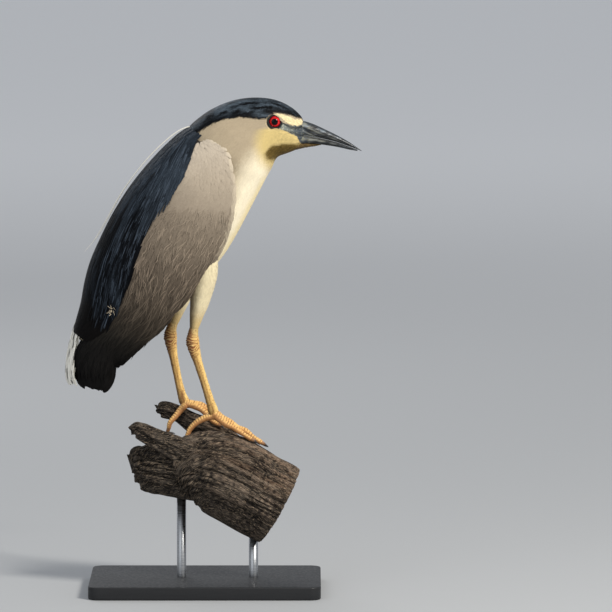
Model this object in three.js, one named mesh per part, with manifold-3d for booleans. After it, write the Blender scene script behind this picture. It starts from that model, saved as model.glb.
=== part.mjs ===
// A life-size standing model of an adult black-crowned night heron on a cut length of dead branch,
// held by a plain display stand. Millimetres, +Z up, +X the way the bird faces, +Y its left side.
// The origin is the middle of the stand's underside.
import * as THREE from "three";
import { mergeVertices } from "three/addons/utils/BufferGeometryUtils.js";
import Module from "manifold-3d";

const wasm = await Module();
wasm.setup();

const GAP = 0.3; // clear space between neighbouring solids
const SIDES = { left: 1, right: -1 }; // the sign of Y on each side of the bird

// ---------------------------------------------------------------- finishes
const finish = (color, roughness, metalness = 0) =>
  new THREE.MeshStandardMaterial({ color, roughness, metalness });
const FINISH = {
  cap: finish(0x1d2530, 0.55),
  back: finish(0x1b222d, 0.5),
  pale: finish(0xd8cfba, 0.85),
  wing: finish(0x9b9389, 0.8),
  tail: finish(0xcfcabf, 0.8),
  leg: finish(0xd9a561, 0.55),
  claw: finish(0x2a241f, 0.4),
  bill: finish(0x24282d, 0.35),
  eye: finish(0xb3131b, 0.08),
  plume: finish(0xf0ebdf, 0.8),
  wood: finish(0x3a322c, 0.9),
  stand: finish(0x202224, 0.6),
  rod: finish(0x8a8c8e, 0.35, 1),
};

// ---------------------------------------------------------------- helpers
const V3 = (x, y, z) => new THREE.Vector3(x, y, z);
const smooth = (a, b, x) => {
  const t = Math.min(1, Math.max(0, (x - a) / (b - a)));
  return t * t * (3 - 2 * t);
};

// A three.js geometry as a manifold-3d solid, turned to face outwards.
function solid(geometry) {
  const bare = geometry.index ? geometry.toNonIndexed() : geometry.clone();
  bare.deleteAttribute("normal");
  bare.deleteAttribute("uv");
  const merged = mergeVertices(bare, 1e-3);
  const triVerts = new Uint32Array(merged.index.array);
  const make = () =>
    new wasm.Manifold(
      new wasm.Mesh({ numProp: 3, vertProperties: merged.attributes.position.array, triVerts }),
    );
  let made = make();
  if (made.volume() < 0) {
    for (let i = 0; i < triVerts.length; i += 3)
      [triVerts[i + 1], triVerts[i + 2]] = [triVerts[i + 2], triVerts[i + 1]];
    made = make();
  }
  return made;
}

// The largest body of a solid as a named mesh.
const group = new THREE.Group();
function add(name, made, material) {
  const main = made.decompose().sort((a, b) => b.volume() - a.volume())[0];
  const raw = main.getMesh();
  const places = new Float32Array(raw.numVert * 3);
  for (let i = 0; i < raw.numVert; i++)
    places.set(raw.vertProperties.subarray(i * raw.numProp, i * raw.numProp + 3), i * 3);
  const geometry = new THREE.BufferGeometry();
  geometry.setAttribute("position", new THREE.BufferAttribute(places, 3));
  geometry.setIndex(new THREE.BufferAttribute(raw.triVerts, 1));
  geometry.computeVertexNormals();
  const mesh = new THREE.Mesh(geometry, material);
  mesh.name = name;
  group.add(mesh);
}

const without = (made, ...others) => others.reduce((left, other) => left.subtract(other), made);

// A closed skin over rings of equal length, with a flat fan over each end.
function loft(rings) {
  const places = [];
  const ring = (i) => rings[i].length;
  rings.forEach((points) => points.forEach((p) => places.push(p.x, p.y, p.z)));
  const index = [];
  const n = ring(0);
  for (let i = 0; i + 1 < rings.length; i++)
    for (let j = 0; j < n; j++) {
      const [a, b] = [i * n + j, i * n + ((j + 1) % n)];
      index.push(a, b, b + n, a, b + n, a + n);
    }
  for (const [i, turned] of [[0, true], [rings.length - 1, false]]) {
    const centre = rings[i].reduce((sum, p) => sum.add(p), V3(0, 0, 0)).divideScalar(n);
    const c = places.push(centre.x, centre.y, centre.z) / 3 - 1;
    for (let j = 0; j < n; j++) {
      const [a, b] = [i * n + j, i * n + ((j + 1) % n)];
      index.push(...(turned ? [c, b, a] : [c, a, b]));
    }
  }
  const geometry = new THREE.BufferGeometry();
  geometry.setAttribute("position", new THREE.BufferAttribute(new Float32Array(places), 3));
  geometry.setIndex(index);
  return solid(geometry);
}

// A round limb along a smooth curve. Each station is [x, y, z, radius, sideways share of it].
function limb(stations, { grow = 0, sides = 10, steps = 3 } = {}) {
  const path = new THREE.CatmullRomCurve3(stations.map(([x, y, z]) => V3(x, y, z)));
  const size = new THREE.CatmullRomCurve3(stations.map(([, , , r, side = 1]) => V3(r, side, 0)));
  const count = (stations.length - 1) * steps;
  const rings = [];
  for (let i = 0; i <= count; i++) {
    const t = i / count;
    const at = path.getPoint(t);
    const { x: radius, y: side } = size.getPoint(t);
    const along = path.getTangent(t);
    const across = V3(0, 1, 0).addScaledVector(along, -along.y).normalize();
    const square = across.clone().cross(along);
    rings.push(
      Array.from({ length: sides }, (_, j) => {
        const turn = (2 * Math.PI * j) / sides;
        return at
          .clone()
          .addScaledVector(across, Math.cos(turn) * (radius * side + grow))
          .addScaledVector(square, Math.sin(turn) * (radius + grow));
      }),
    );
  }
  return loft(rings);
}

// A flat outline in the bird's middle plane, drawn through its points, and pushed out sideways.
function slab(points, from, to, grow = 0) {
  const shape = new THREE.Shape(points.map(([x, z]) => new THREE.Vector2(x, z)));
  const ring = shape.getPoints();
  const turned = THREE.ShapeUtils.isClockWise(ring) ? -1 : 1;
  const grown = ring.map((p, i) => {
    const before = ring[(i + ring.length - 1) % ring.length];
    const after = ring[(i + 1) % ring.length];
    const along = after.clone().sub(before).normalize();
    return p.clone().add(new THREE.Vector2(along.y, -along.x).multiplyScalar(grow * turned));
  });
  const geometry = new THREE.ExtrudeGeometry(new THREE.Shape(grown), {
    depth: to - from,
    bevelEnabled: false,
  });
  geometry.rotateX(Math.PI / 2); // the outline's second axis becomes +Z, and it grows towards -Y
  geometry.translate(0, to, 0);
  return solid(geometry);
}

// Points spaced along a smooth line through a few given ones.
const curve = (points, count) =>
  new THREE.SplineCurve(points.map(([x, z]) => new THREE.Vector2(x, z)))
    .getSpacedPoints(count)
    .map((p) => [p.x, p.y]);

// ---------------------------------------------------------------- the bird's form
// Ribs from the bill's root to the wing tips. Each rib is the line from the back to the front of the
// bird in its middle plane: back x, z, front x, z, half width of the body, cover of wing over it on
// each side, and how far the wing's form hangs past the front. The last three are wing tips alone.
const RIBS = [
  [106.9, 508.1, 105.8, 483.8, 7.0, 0, 0],
  [103.0, 515.2, 101.5, 480.4, 11.0, 0, 0],
  [94.0, 523.4, 96.1, 477.4, 15.5, 0, 0],
  [81.0, 530.3, 87.5, 474.1, 19.5, 0, 0],
  [65.9, 533.9, 79.9, 471.4, 22.0, 0, 0],
  [46.4, 534.1, 76.1, 467.8, 24.5, 0, 0],
  [26.0, 530.0, 74.3, 464.0, 28.0, 1, 0],
  [4.3, 520.2, 72.0, 458.5, 33.0, 2.5, 0],
  [-16.2, 504.6, 65.4, 446.6, 38.0, 4.5, 0],
  [-37.3, 487.4, 57.0, 430.4, 43.0, 6.5, 0],
  [-59.4, 464.6, 46.2, 409.6, 47.0, 8, 1],
  [-80.6, 438.2, 34.2, 387.0, 50.0, 9, 2],
  [-99.6, 408.0, 20.3, 364.6, 51.0, 9, 4],
  [-113.6, 380.0, 4.2, 346.0, 50.0, 9, 8],
  [-123.4, 357.2, -17.3, 328.0, 46.0, 9, 15],
  [-129.6, 335.0, -43.2, 309.2, 39.0, 9, 26],
  [-133.4, 314.0, -68.0, 290.6, 30.0, 10, 32],
  [-138.4, 295.6, -89.6, 272.4, 21.0, 12, 28],
  [-143.0, 278.0, -104.8, 254.0, 13.0, 14, 18],
  [-146.0, 252.0, -104.0, 240.0, 8.0, 16, 12],
  [-143.0, 228.0, -100.0, 221.0, 5.0, 16, 6],
  [-133.0, 213.0, -104.0, 209.0, 3.0, 12, 0],
];
const NECK_RIB = 5.4; // where the head meets the neck
const TRUNK_RIB = 8.6; // where the neck meets the trunk
const RUMP_RIB = 18; // the trunk's last rib
const BACK_COVER = 4.5; // feathers of the back over the trunk
const WING_SHELL = 9; // thickness of a folded wing
const RING_SIDES = 20;

const column = (...picks) =>
  new THREE.CatmullRomCurve3(RIBS.map((rib) => V3(...picks.map((i) => rib[i] ?? 0))));
const BACK_LINE = column(0, 99, 1);
const FRONT_LINE = column(2, 99, 3);
const WIDTHS = column(4, 5, 6);
const LAST = RIBS.length - 1;

// The rings of the body alone, or of the whole form with folded wings, from one rib to another.
// shell takes that much off the wings' outside, and grow adds all round.
function form(from, to, { winged = false, shell = 0, grow = 0, steps = 1.2 } = {}) {
  const count = Math.round((to - from) * steps);
  const rings = [];
  for (let i = 0; i <= count; i++) {
    const u = from + ((to - from) * i) / count;
    const back = BACK_LINE.getPoint(u / LAST);
    const front = FRONT_LINE.getPoint(u / LAST);
    const { x: half, y: cover, z: hang } = WIDTHS.getPoint(u / LAST);
    const down = front.clone().sub(back).normalize();
    const inset = winged ? shell * smooth(6.5, 9, u) : BACK_COVER * smooth(6.5, 9, u);
    back.addScaledVector(down, inset - grow);
    front.addScaledVector(down, (winged ? hang : 0) + grow);
    const width = Math.max(1, half + (winged ? cover - shell : 0)) + grow;
    rings.push(
      Array.from({ length: RING_SIDES }, (_, j) => {
        const turn = (2 * Math.PI * j) / RING_SIDES;
        const fall = (1 - Math.cos(turn)) / 2;
        const side = Math.sign(Math.sin(turn)) * Math.abs(Math.sin(turn)) ** 0.92;
        return back.clone().lerp(front, fall).add(V3(0, width * side, 0));
      }),
    );
  }
  return loft(rings);
}

// Feathering that runs forward under the lower mandible.
const chin = (grow = 0) =>
  limb(
    [
      [90, 0, 480.5, 4.5, 2],
      [106, 0, 482.4, 3.2, 1.8],
      [120, 0, 483.0, 1.6, 1.5],
      [126.5, 0, 483.2, 0.5, 1],
    ],
    { grow, steps: 2 },
  );

const body = form(0, RUMP_RIB, { steps: 1.17 }).add(chin());
const bodyGrown = form(0, RUMP_RIB, { grow: GAP, steps: 1.17 }).add(chin(GAP));

// A block on the tail's side of a rib, used to part the body there.
function behindRib(u, shift) {
  const back = BACK_LINE.getPoint(u / LAST);
  const front = FRONT_LINE.getPoint(u / LAST);
  const down = front.clone().sub(back).normalize();
  const aft = V3(down.z, 0, -down.x).negate();
  if (aft.x > 0) aft.negate();
  const size = 600;
  const block = new THREE.BoxGeometry(size, size, size);
  const frame = new THREE.Matrix4().makeBasis(aft, V3(0, 1, 0), aft.clone().cross(V3(0, 1, 0)));
  block.applyMatrix4(frame);
  const centre = back.lerp(front, 0.5).addScaledVector(aft, size / 2 + shift);
  block.translate(centre.x, centre.y, centre.z);
  return solid(block);
}

// ---------------------------------------------------------------- eyes
const EYE = { x: 75, z: 508, y: 14.6, radius: 7.6 };
const eyeball = (side, grow = 0) => {
  const ball = new THREE.SphereGeometry(EYE.radius + grow, 12, 8);
  ball.translate(EYE.x, side * EYE.y, EYE.z);
  return solid(ball);
};

// ---------------------------------------------------------------- bill
// Stations from inside the face to the tip: x, top z, bottom z, half width.
const UPPER_BILL = [
  [97.0, 507.5, 495.4, 7.6],
  [107.0, 508.6, 493.8, 7.3],
  [118.8, 505.2, 492.0, 6.6],
  [130.0, 500.0, 489.6, 5.5],
  [142.6, 493.8, 486.4, 4.2],
  [155.3, 486.6, 482.0, 2.6],
  [163.0, 481.4, 479.2, 1.3],
  [168.8, 477.3, 476.7, 0.4],
];
const LOWER_BILL = [
  [97.0, 495.0, 484.4, 7.4],
  [107.0, 493.4, 484.9, 7.0],
  [118.8, 491.6, 484.6, 6.1],
  [130.0, 489.2, 483.2, 5.0],
  [142.6, 486.0, 481.2, 3.7],
  [155.3, 481.6, 478.4, 2.2],
  [164.4, 478.2, 476.9, 0.8],
];
function mandible(stations, { domed, grow = 0 }) {
  const line = new THREE.CatmullRomCurve3(stations.map(([x, top, low]) => V3(x, top, low)));
  const widths = new THREE.CatmullRomCurve3(stations.map(([, , , half]) => V3(half, 0, 0)));
  const count = stations.length - 1;
  const rings = [];
  for (let i = 0; i <= count; i++) {
    const { x, y: top, z: low } = line.getPoint(i / count);
    const half = widths.getPoint(i / count).x + grow;
    const tall = top - low + 2 * grow;
    rings.push(
      Array.from({ length: 12 }, (_, j) => {
        const turn = (2 * Math.PI * (j + 0.5)) / 12;
        const flat = domed ? Math.sin(turn) < 0 : Math.sin(turn) > 0;
        const rise = Math.sign(Math.sin(turn)) * Math.abs(Math.sin(turn)) ** (flat ? 0.45 : 1.15);
        const side = Math.sign(Math.cos(turn)) * Math.abs(Math.cos(turn)) ** 0.8;
        return V3(x, half * side, (top + low) / 2 + (rise * tall) / 2);
      }),
    );
  }
  return loft(rings);
}

// ---------------------------------------------------------------- folded wings and the back
// The wing's edges in the bird's middle plane: x, z. The front edge runs from the wrist to the wing
// tip, and the back edge from there along the dark feathers of the back to the wrist again.
const WING_FRONT = [
  [2, 493], [13, 489.5], [22.5, 479.5], [29.8, 461.5], [32.8, 441], [32.4, 421], [28, 395],
  [19.5, 373.5], [6, 350], [-8, 331.5], [-25, 313.5], [-36, 300], [-42, 289.5], [-54, 283],
  [-64, 273], [-77, 269], [-88, 262], [-94.5, 248], [-99.5, 234], [-104.5, 222],
];
const WING_TIP = [[-107, 218.5], [-114, 216.8], [-124, 219], [-133, 225.5]];
const WING_BACK = [
  [-135.5, 240], [-135.5, 262], [-131, 276], [-122, 281], [-112, 286], [-104, 297], [-98, 314],
  [-88, 334], [-83, 354], [-77, 374], [-64, 396], [-44, 420], [-24, 443], [-13.5, 462],
  [-12.5, 478], [-7, 489],
];
const BACK_EDGE = curve(WING_BACK, 13);
const WING_OUTLINE = [...curve(WING_FRONT, 17), ...WING_TIP, ...BACK_EDGE];
// The dark feathers of the back fill everything behind that edge, down to the tail's root.
const MANTLE_OUTLINE = [
  ...BACK_EDGE.slice(2), [-3, 500], [-9, 530], [-120, 530], [-200, 420], [-200, 300],
  [-160, 283], [-142, 279], [-133, 278],
];
const WING_INNER = 2.5; // nearest the two wings come to the middle plane
const WIDE = 90; // past the bird's half width

const wingForm = form(5.8, LAST, { winged: true, steps: 1.1 });
const wingLining = form(5.8, LAST, { winged: true, shell: WING_SHELL, steps: 0.7 });

// ---------------------------------------------------------------- tail
// Twelve tail feathers folded together: an arched plate. Stations: x, z of the ridge, half width,
// how far the sides fall from the ridge, thickness.
const TAIL = [
  [-128, 312, 9, 3, 5],
  [-137, 288, 12, 5, 4.5],
  [-144, 262, 15.5, 7.5, 4],
  [-148.5, 240, 18, 9, 3],
  [-148.2, 229, 17.5, 9.5, 2.6],
  [-145.6, 223.4, 13, 8, 2.2],
];
function tailPlate(grow = 0) {
  const line = new THREE.CatmullRomCurve3(TAIL.map(([x, z]) => V3(x, 0, z)));
  const sizes = new THREE.CatmullRomCurve3(TAIL.map(([, , half, fall, thick]) => V3(half, fall, thick)));
  const count = TAIL.length - 1;
  const rings = [];
  for (let i = 0; i <= count; i++) {
    const ridge = line.getPoint(i / count);
    const along = line.getTangent(i / count);
    const inward = V3(-along.z, 0, along.x);
    if (inward.x < 0) inward.negate();
    const { x: half, y: fall, z: thick } = sizes.getPoint(i / count);
    const at = (across, depth) =>
      ridge.clone().add(V3(0, across * (half + grow), 0)).addScaledVector(inward, depth + fall * across ** 2);
    const across = Array.from({ length: 9 }, (_, j) => -1 + j / 4);
    rings.push([
      ...across.map((a) => at(a, -grow)),
      ...across.reverse().map((a) => at(a, thick * (1 - 0.4 * a * a) + grow)),
    ]);
  }
  return loft(rings);
}

// ---------------------------------------------------------------- legs
// Feathered shank and ankle, then the bare tarsus, down to the foot's joint: x, z, radius. The two
// legs stand one behind the other on the sloping branch. spread is the distance from the middle plane
// at the top and at the foot.
const LEGS = {
  right: {
    thigh: [[-6, 388, 15], [0, 352, 14.5], [-4.6, 320, 11], [-8.6, 302, 7.6], [-11, 290, 5.2]],
    tarsus: [[-11.2, 289, 4.6], [-12.6, 281, 5.6], [-13.0, 273, 7.0], [-11.2, 263, 6.2],
      [-7.5, 250, 4.7], [0.5, 224, 4.2], [5.6, 207, 4.7], [8.4, 197.6, 5.6], [9.0, 192.6, 4.6]],
    joint: [9.4, 193.5],
    spread: { hip: 26, ankle: 21, foot: 13 },
  },
  left: {
    thigh: [[-24, 380, 15], [-19, 345, 14], [-26, 316, 10], [-30.6, 301, 7.2], [-33.6, 291, 5.2]],
    tarsus: [[-34.2, 290, 4.6], [-36.9, 282, 5.7], [-38.0, 274.5, 7.0], [-37.0, 264, 6.0],
      [-34.6, 251, 4.6], [-29.6, 226, 4.1], [-26.0, 211, 4.7], [-23.6, 204.0, 5.6], [-22.6, 199.4, 4.6]],
    joint: [-22.0, 200.4],
    spread: { hip: 26, ankle: 23, foot: 19 },
  },
};

function legStations(side, which, from, to) {
  const rows = LEGS[side][which];
  return rows.map(([x, z, radius], i) => {
    const y = from + ((to - from) * i) / (rows.length - 1);
    return [x, SIDES[side] * y, z, radius, which === "thigh" ? 0.9 : 0.82];
  });
}
function thigh(side, grow = 0) {
  const { hip, ankle } = LEGS[side].spread;
  return limb(legStations(side, "thigh", hip, ankle), { grow, sides: 10, steps: 2 });
}
function tarsus(side, grow = 0) {
  const { ankle, foot } = LEGS[side].spread;
  return limb(legStations(side, "tarsus", ankle, foot), { grow, sides: 10, steps: 1 });
}

// ---------------------------------------------------------------- branch
// The dead branch slopes down ahead of the bird, and its broken end is forked. A knob stands up on the
// near side and a spur on the far side, which the left foot grips, with a gap between and below them
// that ends at the step in the top of the branch, which the right foot grips. Stations: x, y, z,
// radius, sideways share.
const LOG = [
  [-77, 2, 133, 19, 1.1], [-70, 2, 134, 26, 1.1], [-54, 1, 133, 30, 1.15], [-34, 0, 131, 31, 1.22],
  [-19, -2, 130.5, 34, 1.18], [-9, -6, 133.4, 42, 1.06], [6, -8, 132.4, 46.5, 1.02],
  [22, -9, 126.6, 48.5, 1], [40, -8, 117.4, 48.8, 1], [60, -6, 105.5, 48.5, 1], [80, -4, 94.5, 48, 1],
];
const KNOB = [
  [-79, -25, 177, 6], [-72, -26, 178, 10], [-56, -27, 170.5, 12], [-36, -27, 161, 14], [-12, -25, 148, 17],
];
const SPUR = [
  [-52, 22, 194, 6], [-46, 22, 194, 9.8], [-30, 20, 189.5, 9.6], [-12, 18, 179, 12], [10, 17, 169, 15],
  [32, 13, 150, 18],
];
// Long ridges and furrows run along weathered wood: a sum of waves round the section that drift
// along its length.
function weathered(stations, { sides, steps, depth, grow = 0 }) {
  const path = new THREE.CatmullRomCurve3(stations.map(([x, y, z]) => V3(x, y, z)));
  const size = new THREE.CatmullRomCurve3(stations.map(([, , , r, side = 1]) => V3(r, side, 0)));
  const count = (stations.length - 1) * steps;
  const rings = [];
  for (let i = 0; i <= count; i++) {
    const t = i / count;
    const { x: radius, y: side } = size.getPoint(t);
    const at = path.getPoint(t);
    const along = path.getTangent(t);
    const across = V3(0, 1, 0).addScaledVector(along, -along.y).normalize();
    const down = across.clone().cross(along);
    rings.push(
      Array.from({ length: sides }, (_, j) => {
        const turn = (2 * Math.PI * j) / sides;
        const ridge =
          0.5 * Math.sin(5 * turn + 3 * t) + 0.3 * Math.sin(9 * turn - 5 * t + 1) +
          0.2 * Math.sin(3 * turn + 9 * t + 2);
        // the underside of the branch is worn smooth
        const worn = 1 - 0.85 * smooth(0.55, 0.95, Math.sin(turn));
        const reach = radius * (1 - depth * worn * (0.5 + 0.5 * ridge)) + grow;
        return at
          .clone()
          .addScaledVector(across, Math.cos(turn) * reach * side)
          .addScaledVector(down, Math.sin(turn) * reach);
      }),
    );
  }
  return loft(rings);
}
const branch = (grow = 0) =>
  weathered(LOG, { sides: 24, steps: 1, depth: 0.1, grow })
    .add(weathered(KNOB, { sides: 10, steps: 1, depth: 0.16, grow }))
    .add(weathered(SPUR, { sides: 10, steps: 1, depth: 0.12, grow }));

// How high the wood stands under a point: the highest hit of a ray cast straight down.
const woodMesh = (() => {
  const raw = branch().getMesh();
  const geometry = new THREE.BufferGeometry();
  geometry.setAttribute("position", new THREE.BufferAttribute(raw.vertProperties, 3));
  geometry.setIndex(new THREE.BufferAttribute(raw.triVerts, 1));
  return new THREE.Mesh(geometry, new THREE.MeshBasicMaterial({ side: THREE.DoubleSide }));
})();
const caster = new THREE.Raycaster();
function woodTop(x, y) {
  caster.set(V3(x, y, 400), V3(0, 0, -1));
  const hit = caster.intersectObject(woodMesh)[0];
  return hit ? hit.point.z : 120;
}

// ---------------------------------------------------------------- toes and claws
// Three toes point ahead. heading is in degrees from straight ahead towards the bird's outer side,
// length is to the claw's root and claw is its length. The middle toe is the longest.
const TOES = {
  inner: { heading: -20, length: 38, claw: 7, radius: 4.1, lift: 3 },
  middle: { heading: -5, length: 51, claw: 8, radius: 4.8, lift: 4.5 },
  outer: { heading: 10, length: 41, claw: 7, radius: 4.1, lift: 3.5 },
};
// The first toe points back and hooks over the broken wood: places from its root to the claw's tip,
// of which the last ones are the claw's.
const HIND_TOES = {
  right: [[9, -13, 191], [0, -12, 188.5], [-9, -11, 183.5], [-16, -10, 176.5], [-19.6, -9.5, 168.5],
    [-19.2, -9, 163.2], [-17, -8.6, 159]],
  left: [[-22, 18, 199], [-26.5, 11.5, 195], [-32, 7.5, 188.5], [-38, 6, 181.5], [-39.6, 7, 175.5],
    [-37, 8.4, 171.6], [-32.6, 10, 169.4]],
};
const HIND_CLAW = 4; // the place where the claw starts
const CLAW_OVERLAP = 1.2; // how far a claw's root reaches back into its toe

// A toe lies on the wood from the foot's joint outwards, thicker at its three pads.
function toeStations(side, { heading, length, radius, lift }) {
  const turn = THREE.MathUtils.degToRad(heading) * SIDES[side];
  const { joint: [jointX, jointZ], spread } = LEGS[side];
  const jointY = SIDES[side] * spread.foot;
  const count = 6;
  return Array.from({ length: count + 1 }, (_, i) => {
    const out = (length * i) / count;
    const x = jointX + Math.cos(turn) * out;
    const y = jointY + Math.sin(turn) * out;
    const pads = 1 + 0.1 * Math.cos((3 * 2 * Math.PI * i) / count);
    const thick = radius * (1 - 0.44 * (i / count)) * pads;
    const rest = woodTop(x, y) + thick + 2 * GAP;
    const arch = rest + lift * Math.sin(Math.PI * (i / count) ** 0.7);
    const z = jointZ + (arch - jointZ) * smooth(-0.35, 0.55, i / count);
    return [x, y, Math.max(z, rest), thick, 1.08];
  });
}
const hindRadius = (i) => 3.9 - 0.42 * i;
const hindStations = (side) =>
  HIND_TOES[side].slice(0, HIND_CLAW + 1).map((place, i) => [...place, hindRadius(i), 1.08]);

// A claw curves down from its toe's end and rests its point on the wood.
function clawStations(side, { heading, length, claw: reach }) {
  const turn = THREE.MathUtils.degToRad(heading) * SIDES[side];
  const last = toeStations(side, { heading, length, radius: 3.6, lift: 0 }).at(-1);
  const { joint: [jointX], spread } = LEGS[side];
  const count = 4;
  return Array.from({ length: count + 1 }, (_, i) => {
    const out = length - CLAW_OVERLAP + ((reach + CLAW_OVERLAP) * i) / count;
    const x = jointX + Math.cos(turn) * out;
    const y = SIDES[side] * spread.foot + Math.sin(turn) * out;
    const thick = Math.max(0.4, 2.1 * (1 - i / count) ** 0.8);
    const fall = last[2] + 1 - 5.5 * (i / count) ** 2;
    return [x, y, Math.max(fall, woodTop(x, y) + thick + 2 * GAP), thick, 0.8];
  });
}
const hindClawStations = (side) =>
  HIND_TOES[side].slice(HIND_CLAW - 1).map((place, i) => [...place, Math.max(0.4, 2.0 - 0.5 * i), 0.8]);

const TOE_KINDS = ["middle", "hind", "inner", "outer"];
const toe = (side, kind, grow = 0) =>
  limb(kind === "hind" ? hindStations(side) : toeStations(side, TOES[kind]), { grow, sides: 8, steps: 1 });
const claw = (side, kind) =>
  limb(kind === "hind" ? hindClawStations(side) : clawStations(side, TOES[kind]), { sides: 5, steps: 1 });

// ---------------------------------------------------------------- nape plumes
// Two long white plumes hang from the nape down the back and stand off it at their tips.
const PLUME_PATH = [
  [-10, 506.5], [-27, 500.5], [-46, 485.5], [-68, 462], [-90, 431.5], [-107, 401], [-119, 381], [-130, 368],
];
const PLUMES = { right: { y: -3.2, lean: -5, end: 0 }, left: { y: 3.2, lean: 7, end: 6 } };
const plume = ({ y, lean, end }, grow = 0) =>
  limb(
    PLUME_PATH.map(([x, z], i) => {
      const t = i / (PLUME_PATH.length - 1);
      return [x + end * t * t, y + lean * t * t, z + end * t * t, 1.5 - 0.9 * t, 1.3];
    }),
    { grow, sides: 5, steps: 1 },
  );

// ---------------------------------------------------------------- display stand
const BASE = { length: 250, width: 160, height: 14, corner: 12, edge: 1.5 };
const RODS = { front: 52, rear: -26 };
const ROD_RADIUS = 5;

function standBase() {
  const [x, y] = [BASE.length / 2 - BASE.edge, BASE.width / 2 - BASE.edge];
  const r = BASE.corner;
  const shape = new THREE.Shape()
    .moveTo(-x + r, -y).lineTo(x - r, -y).absarc(x - r, -y + r, r, -Math.PI / 2, 0)
    .lineTo(x, y - r).absarc(x - r, y - r, r, 0, Math.PI / 2)
    .lineTo(-x + r, y).absarc(-x + r, y - r, r, Math.PI / 2, Math.PI)
    .lineTo(-x, -y + r).absarc(-x + r, -y + r, r, Math.PI, 1.5 * Math.PI);
  const geometry = new THREE.ExtrudeGeometry(shape, {
    depth: BASE.height - 2 * BASE.edge,
    bevelThickness: BASE.edge,
    bevelSize: BASE.edge,
    bevelSegments: 1,
    curveSegments: 2,
  });
  geometry.translate(0, 0, BASE.edge);
  return solid(geometry);
}

// A rod from the base up into the wood's underside, where it is cut to the wood's shape.
function standRod(x) {
  const top = 150;
  const rod = new THREE.CylinderGeometry(ROD_RADIUS, ROD_RADIUS, top, 12);
  rod.rotateX(Math.PI / 2);
  rod.translate(x, 0, BASE.height + GAP + top / 2);
  return solid(rod);
}

// ---------------------------------------------------------------- putting it together
const wood = branch();
const woodGrown = branch(GAP);
const eyesGrown = Object.values(SIDES).map((side) => eyeball(side, GAP));
const billsGrown = [];
const thighsGrown = Object.keys(SIDES).map((side) => thigh(side, GAP));
const tarsiGrown = Object.keys(SIDES).map((side) => tarsus(side, GAP));
const tailGrown = tailPlate(GAP);

const head = body.subtract(behindRib(NECK_RIB, -GAP / 2));
const neck = body.intersect(behindRib(NECK_RIB, GAP / 2)).subtract(behindRib(TRUNK_RIB, -GAP / 2));
const trunk = body.intersect(behindRib(TRUNK_RIB, GAP / 2));
add("head", without(head, ...eyesGrown), FINISH.cap);
add("neck", neck, FINISH.pale);
add("trunk", without(trunk, tailGrown), FINISH.pale);

const upperBill = mandible(UPPER_BILL, { domed: true });
add("bill_upper", without(upperBill, bodyGrown), FINISH.bill);
add("bill_lower", without(mandible(LOWER_BILL, { domed: false }), bodyGrown), FINISH.bill);

const plumesGrown = Object.values(PLUMES).map((one) => plume(one, GAP));
const mantle = wingForm
  .intersect(slab(MANTLE_OUTLINE, -WIDE, WIDE))
  .subtract(slab(WING_OUTLINE, -WIDE, WIDE, GAP));
add("mantle", without(mantle, bodyGrown, tailGrown, ...plumesGrown), FINISH.back);
add("tail", tailPlate(), FINISH.tail);

for (const [side, sign] of Object.entries(SIDES)) {
  add(`eye_${side}`, eyeball(sign), FINISH.eye);
  const [near, far] = sign > 0 ? [WING_INNER, WIDE] : [-WIDE, -WING_INNER];
  const wing = wingForm.subtract(wingLining).intersect(slab(WING_OUTLINE, near, far));
  add(`wing_${side}`, without(wing, bodyGrown, tailGrown, ...thighsGrown, ...plumesGrown), FINISH.wing);
  add(`plume_${side}`, without(plume(PLUMES[side]), bodyGrown), FINISH.plume);
  add(`thigh_${side}`, without(thigh(side), bodyGrown, ...tarsiGrown), FINISH.pale);
  add(`tarsus_${side}`, without(tarsus(side), woodGrown), FINISH.leg);
  const taken = [woodGrown, tarsus(side, GAP)];
  for (const kind of TOE_KINDS) {
    add(`toe_${side}_${kind}`, without(toe(side, kind), ...taken), FINISH.leg);
    taken.push(toe(side, kind, GAP));
  }
  for (const kind of TOE_KINDS)
    add(`claw_${side}_${kind}`, without(claw(side, kind), ...taken), FINISH.claw);
}

add("perch", wood, FINISH.wood);
add("stand_base", standBase(), FINISH.stand);
for (const [place, x] of Object.entries(RODS)) {
  const above = new THREE.BoxGeometry(40, 40, 300);
  above.translate(x, 0, LOG[4][2] + 150);
  add(`stand_rod_${place}`, without(standRod(x), woodGrown, solid(above)), FINISH.rod);
}

export default group;
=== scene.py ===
# %% [markdown]
# # A black-crowned night heron, as a museum shows one
# The frame holds the bird, its perch and its stand as plain solids at their true size. Everything
# here is built around them: first the camera and the lights, then the skin, then the plumage laid
# on it feather by feather, and last the horn, the eyes, the dead wood and the stand.
# %% Load the frame
import math

import bpy
import numpy as np
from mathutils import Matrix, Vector


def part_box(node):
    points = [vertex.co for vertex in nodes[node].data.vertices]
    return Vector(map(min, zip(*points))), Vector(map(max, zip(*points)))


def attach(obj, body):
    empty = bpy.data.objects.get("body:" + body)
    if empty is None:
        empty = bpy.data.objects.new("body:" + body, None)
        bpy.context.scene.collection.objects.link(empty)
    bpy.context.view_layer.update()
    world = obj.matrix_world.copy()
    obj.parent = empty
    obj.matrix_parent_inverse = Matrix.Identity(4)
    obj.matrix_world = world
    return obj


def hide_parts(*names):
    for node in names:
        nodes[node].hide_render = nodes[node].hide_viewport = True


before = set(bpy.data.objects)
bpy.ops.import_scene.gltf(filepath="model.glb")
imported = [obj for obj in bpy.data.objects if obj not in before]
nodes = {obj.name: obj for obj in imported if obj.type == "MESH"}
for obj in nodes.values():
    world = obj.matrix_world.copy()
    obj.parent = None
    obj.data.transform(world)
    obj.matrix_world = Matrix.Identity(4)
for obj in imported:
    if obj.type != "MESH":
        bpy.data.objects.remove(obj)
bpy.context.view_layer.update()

MM = 0.001  # sizes below are in millimetres, and meshes are in metres
STEP = 1e-3  # for slopes, in ribs, stations and radians
TURN = 2 * math.pi
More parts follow.
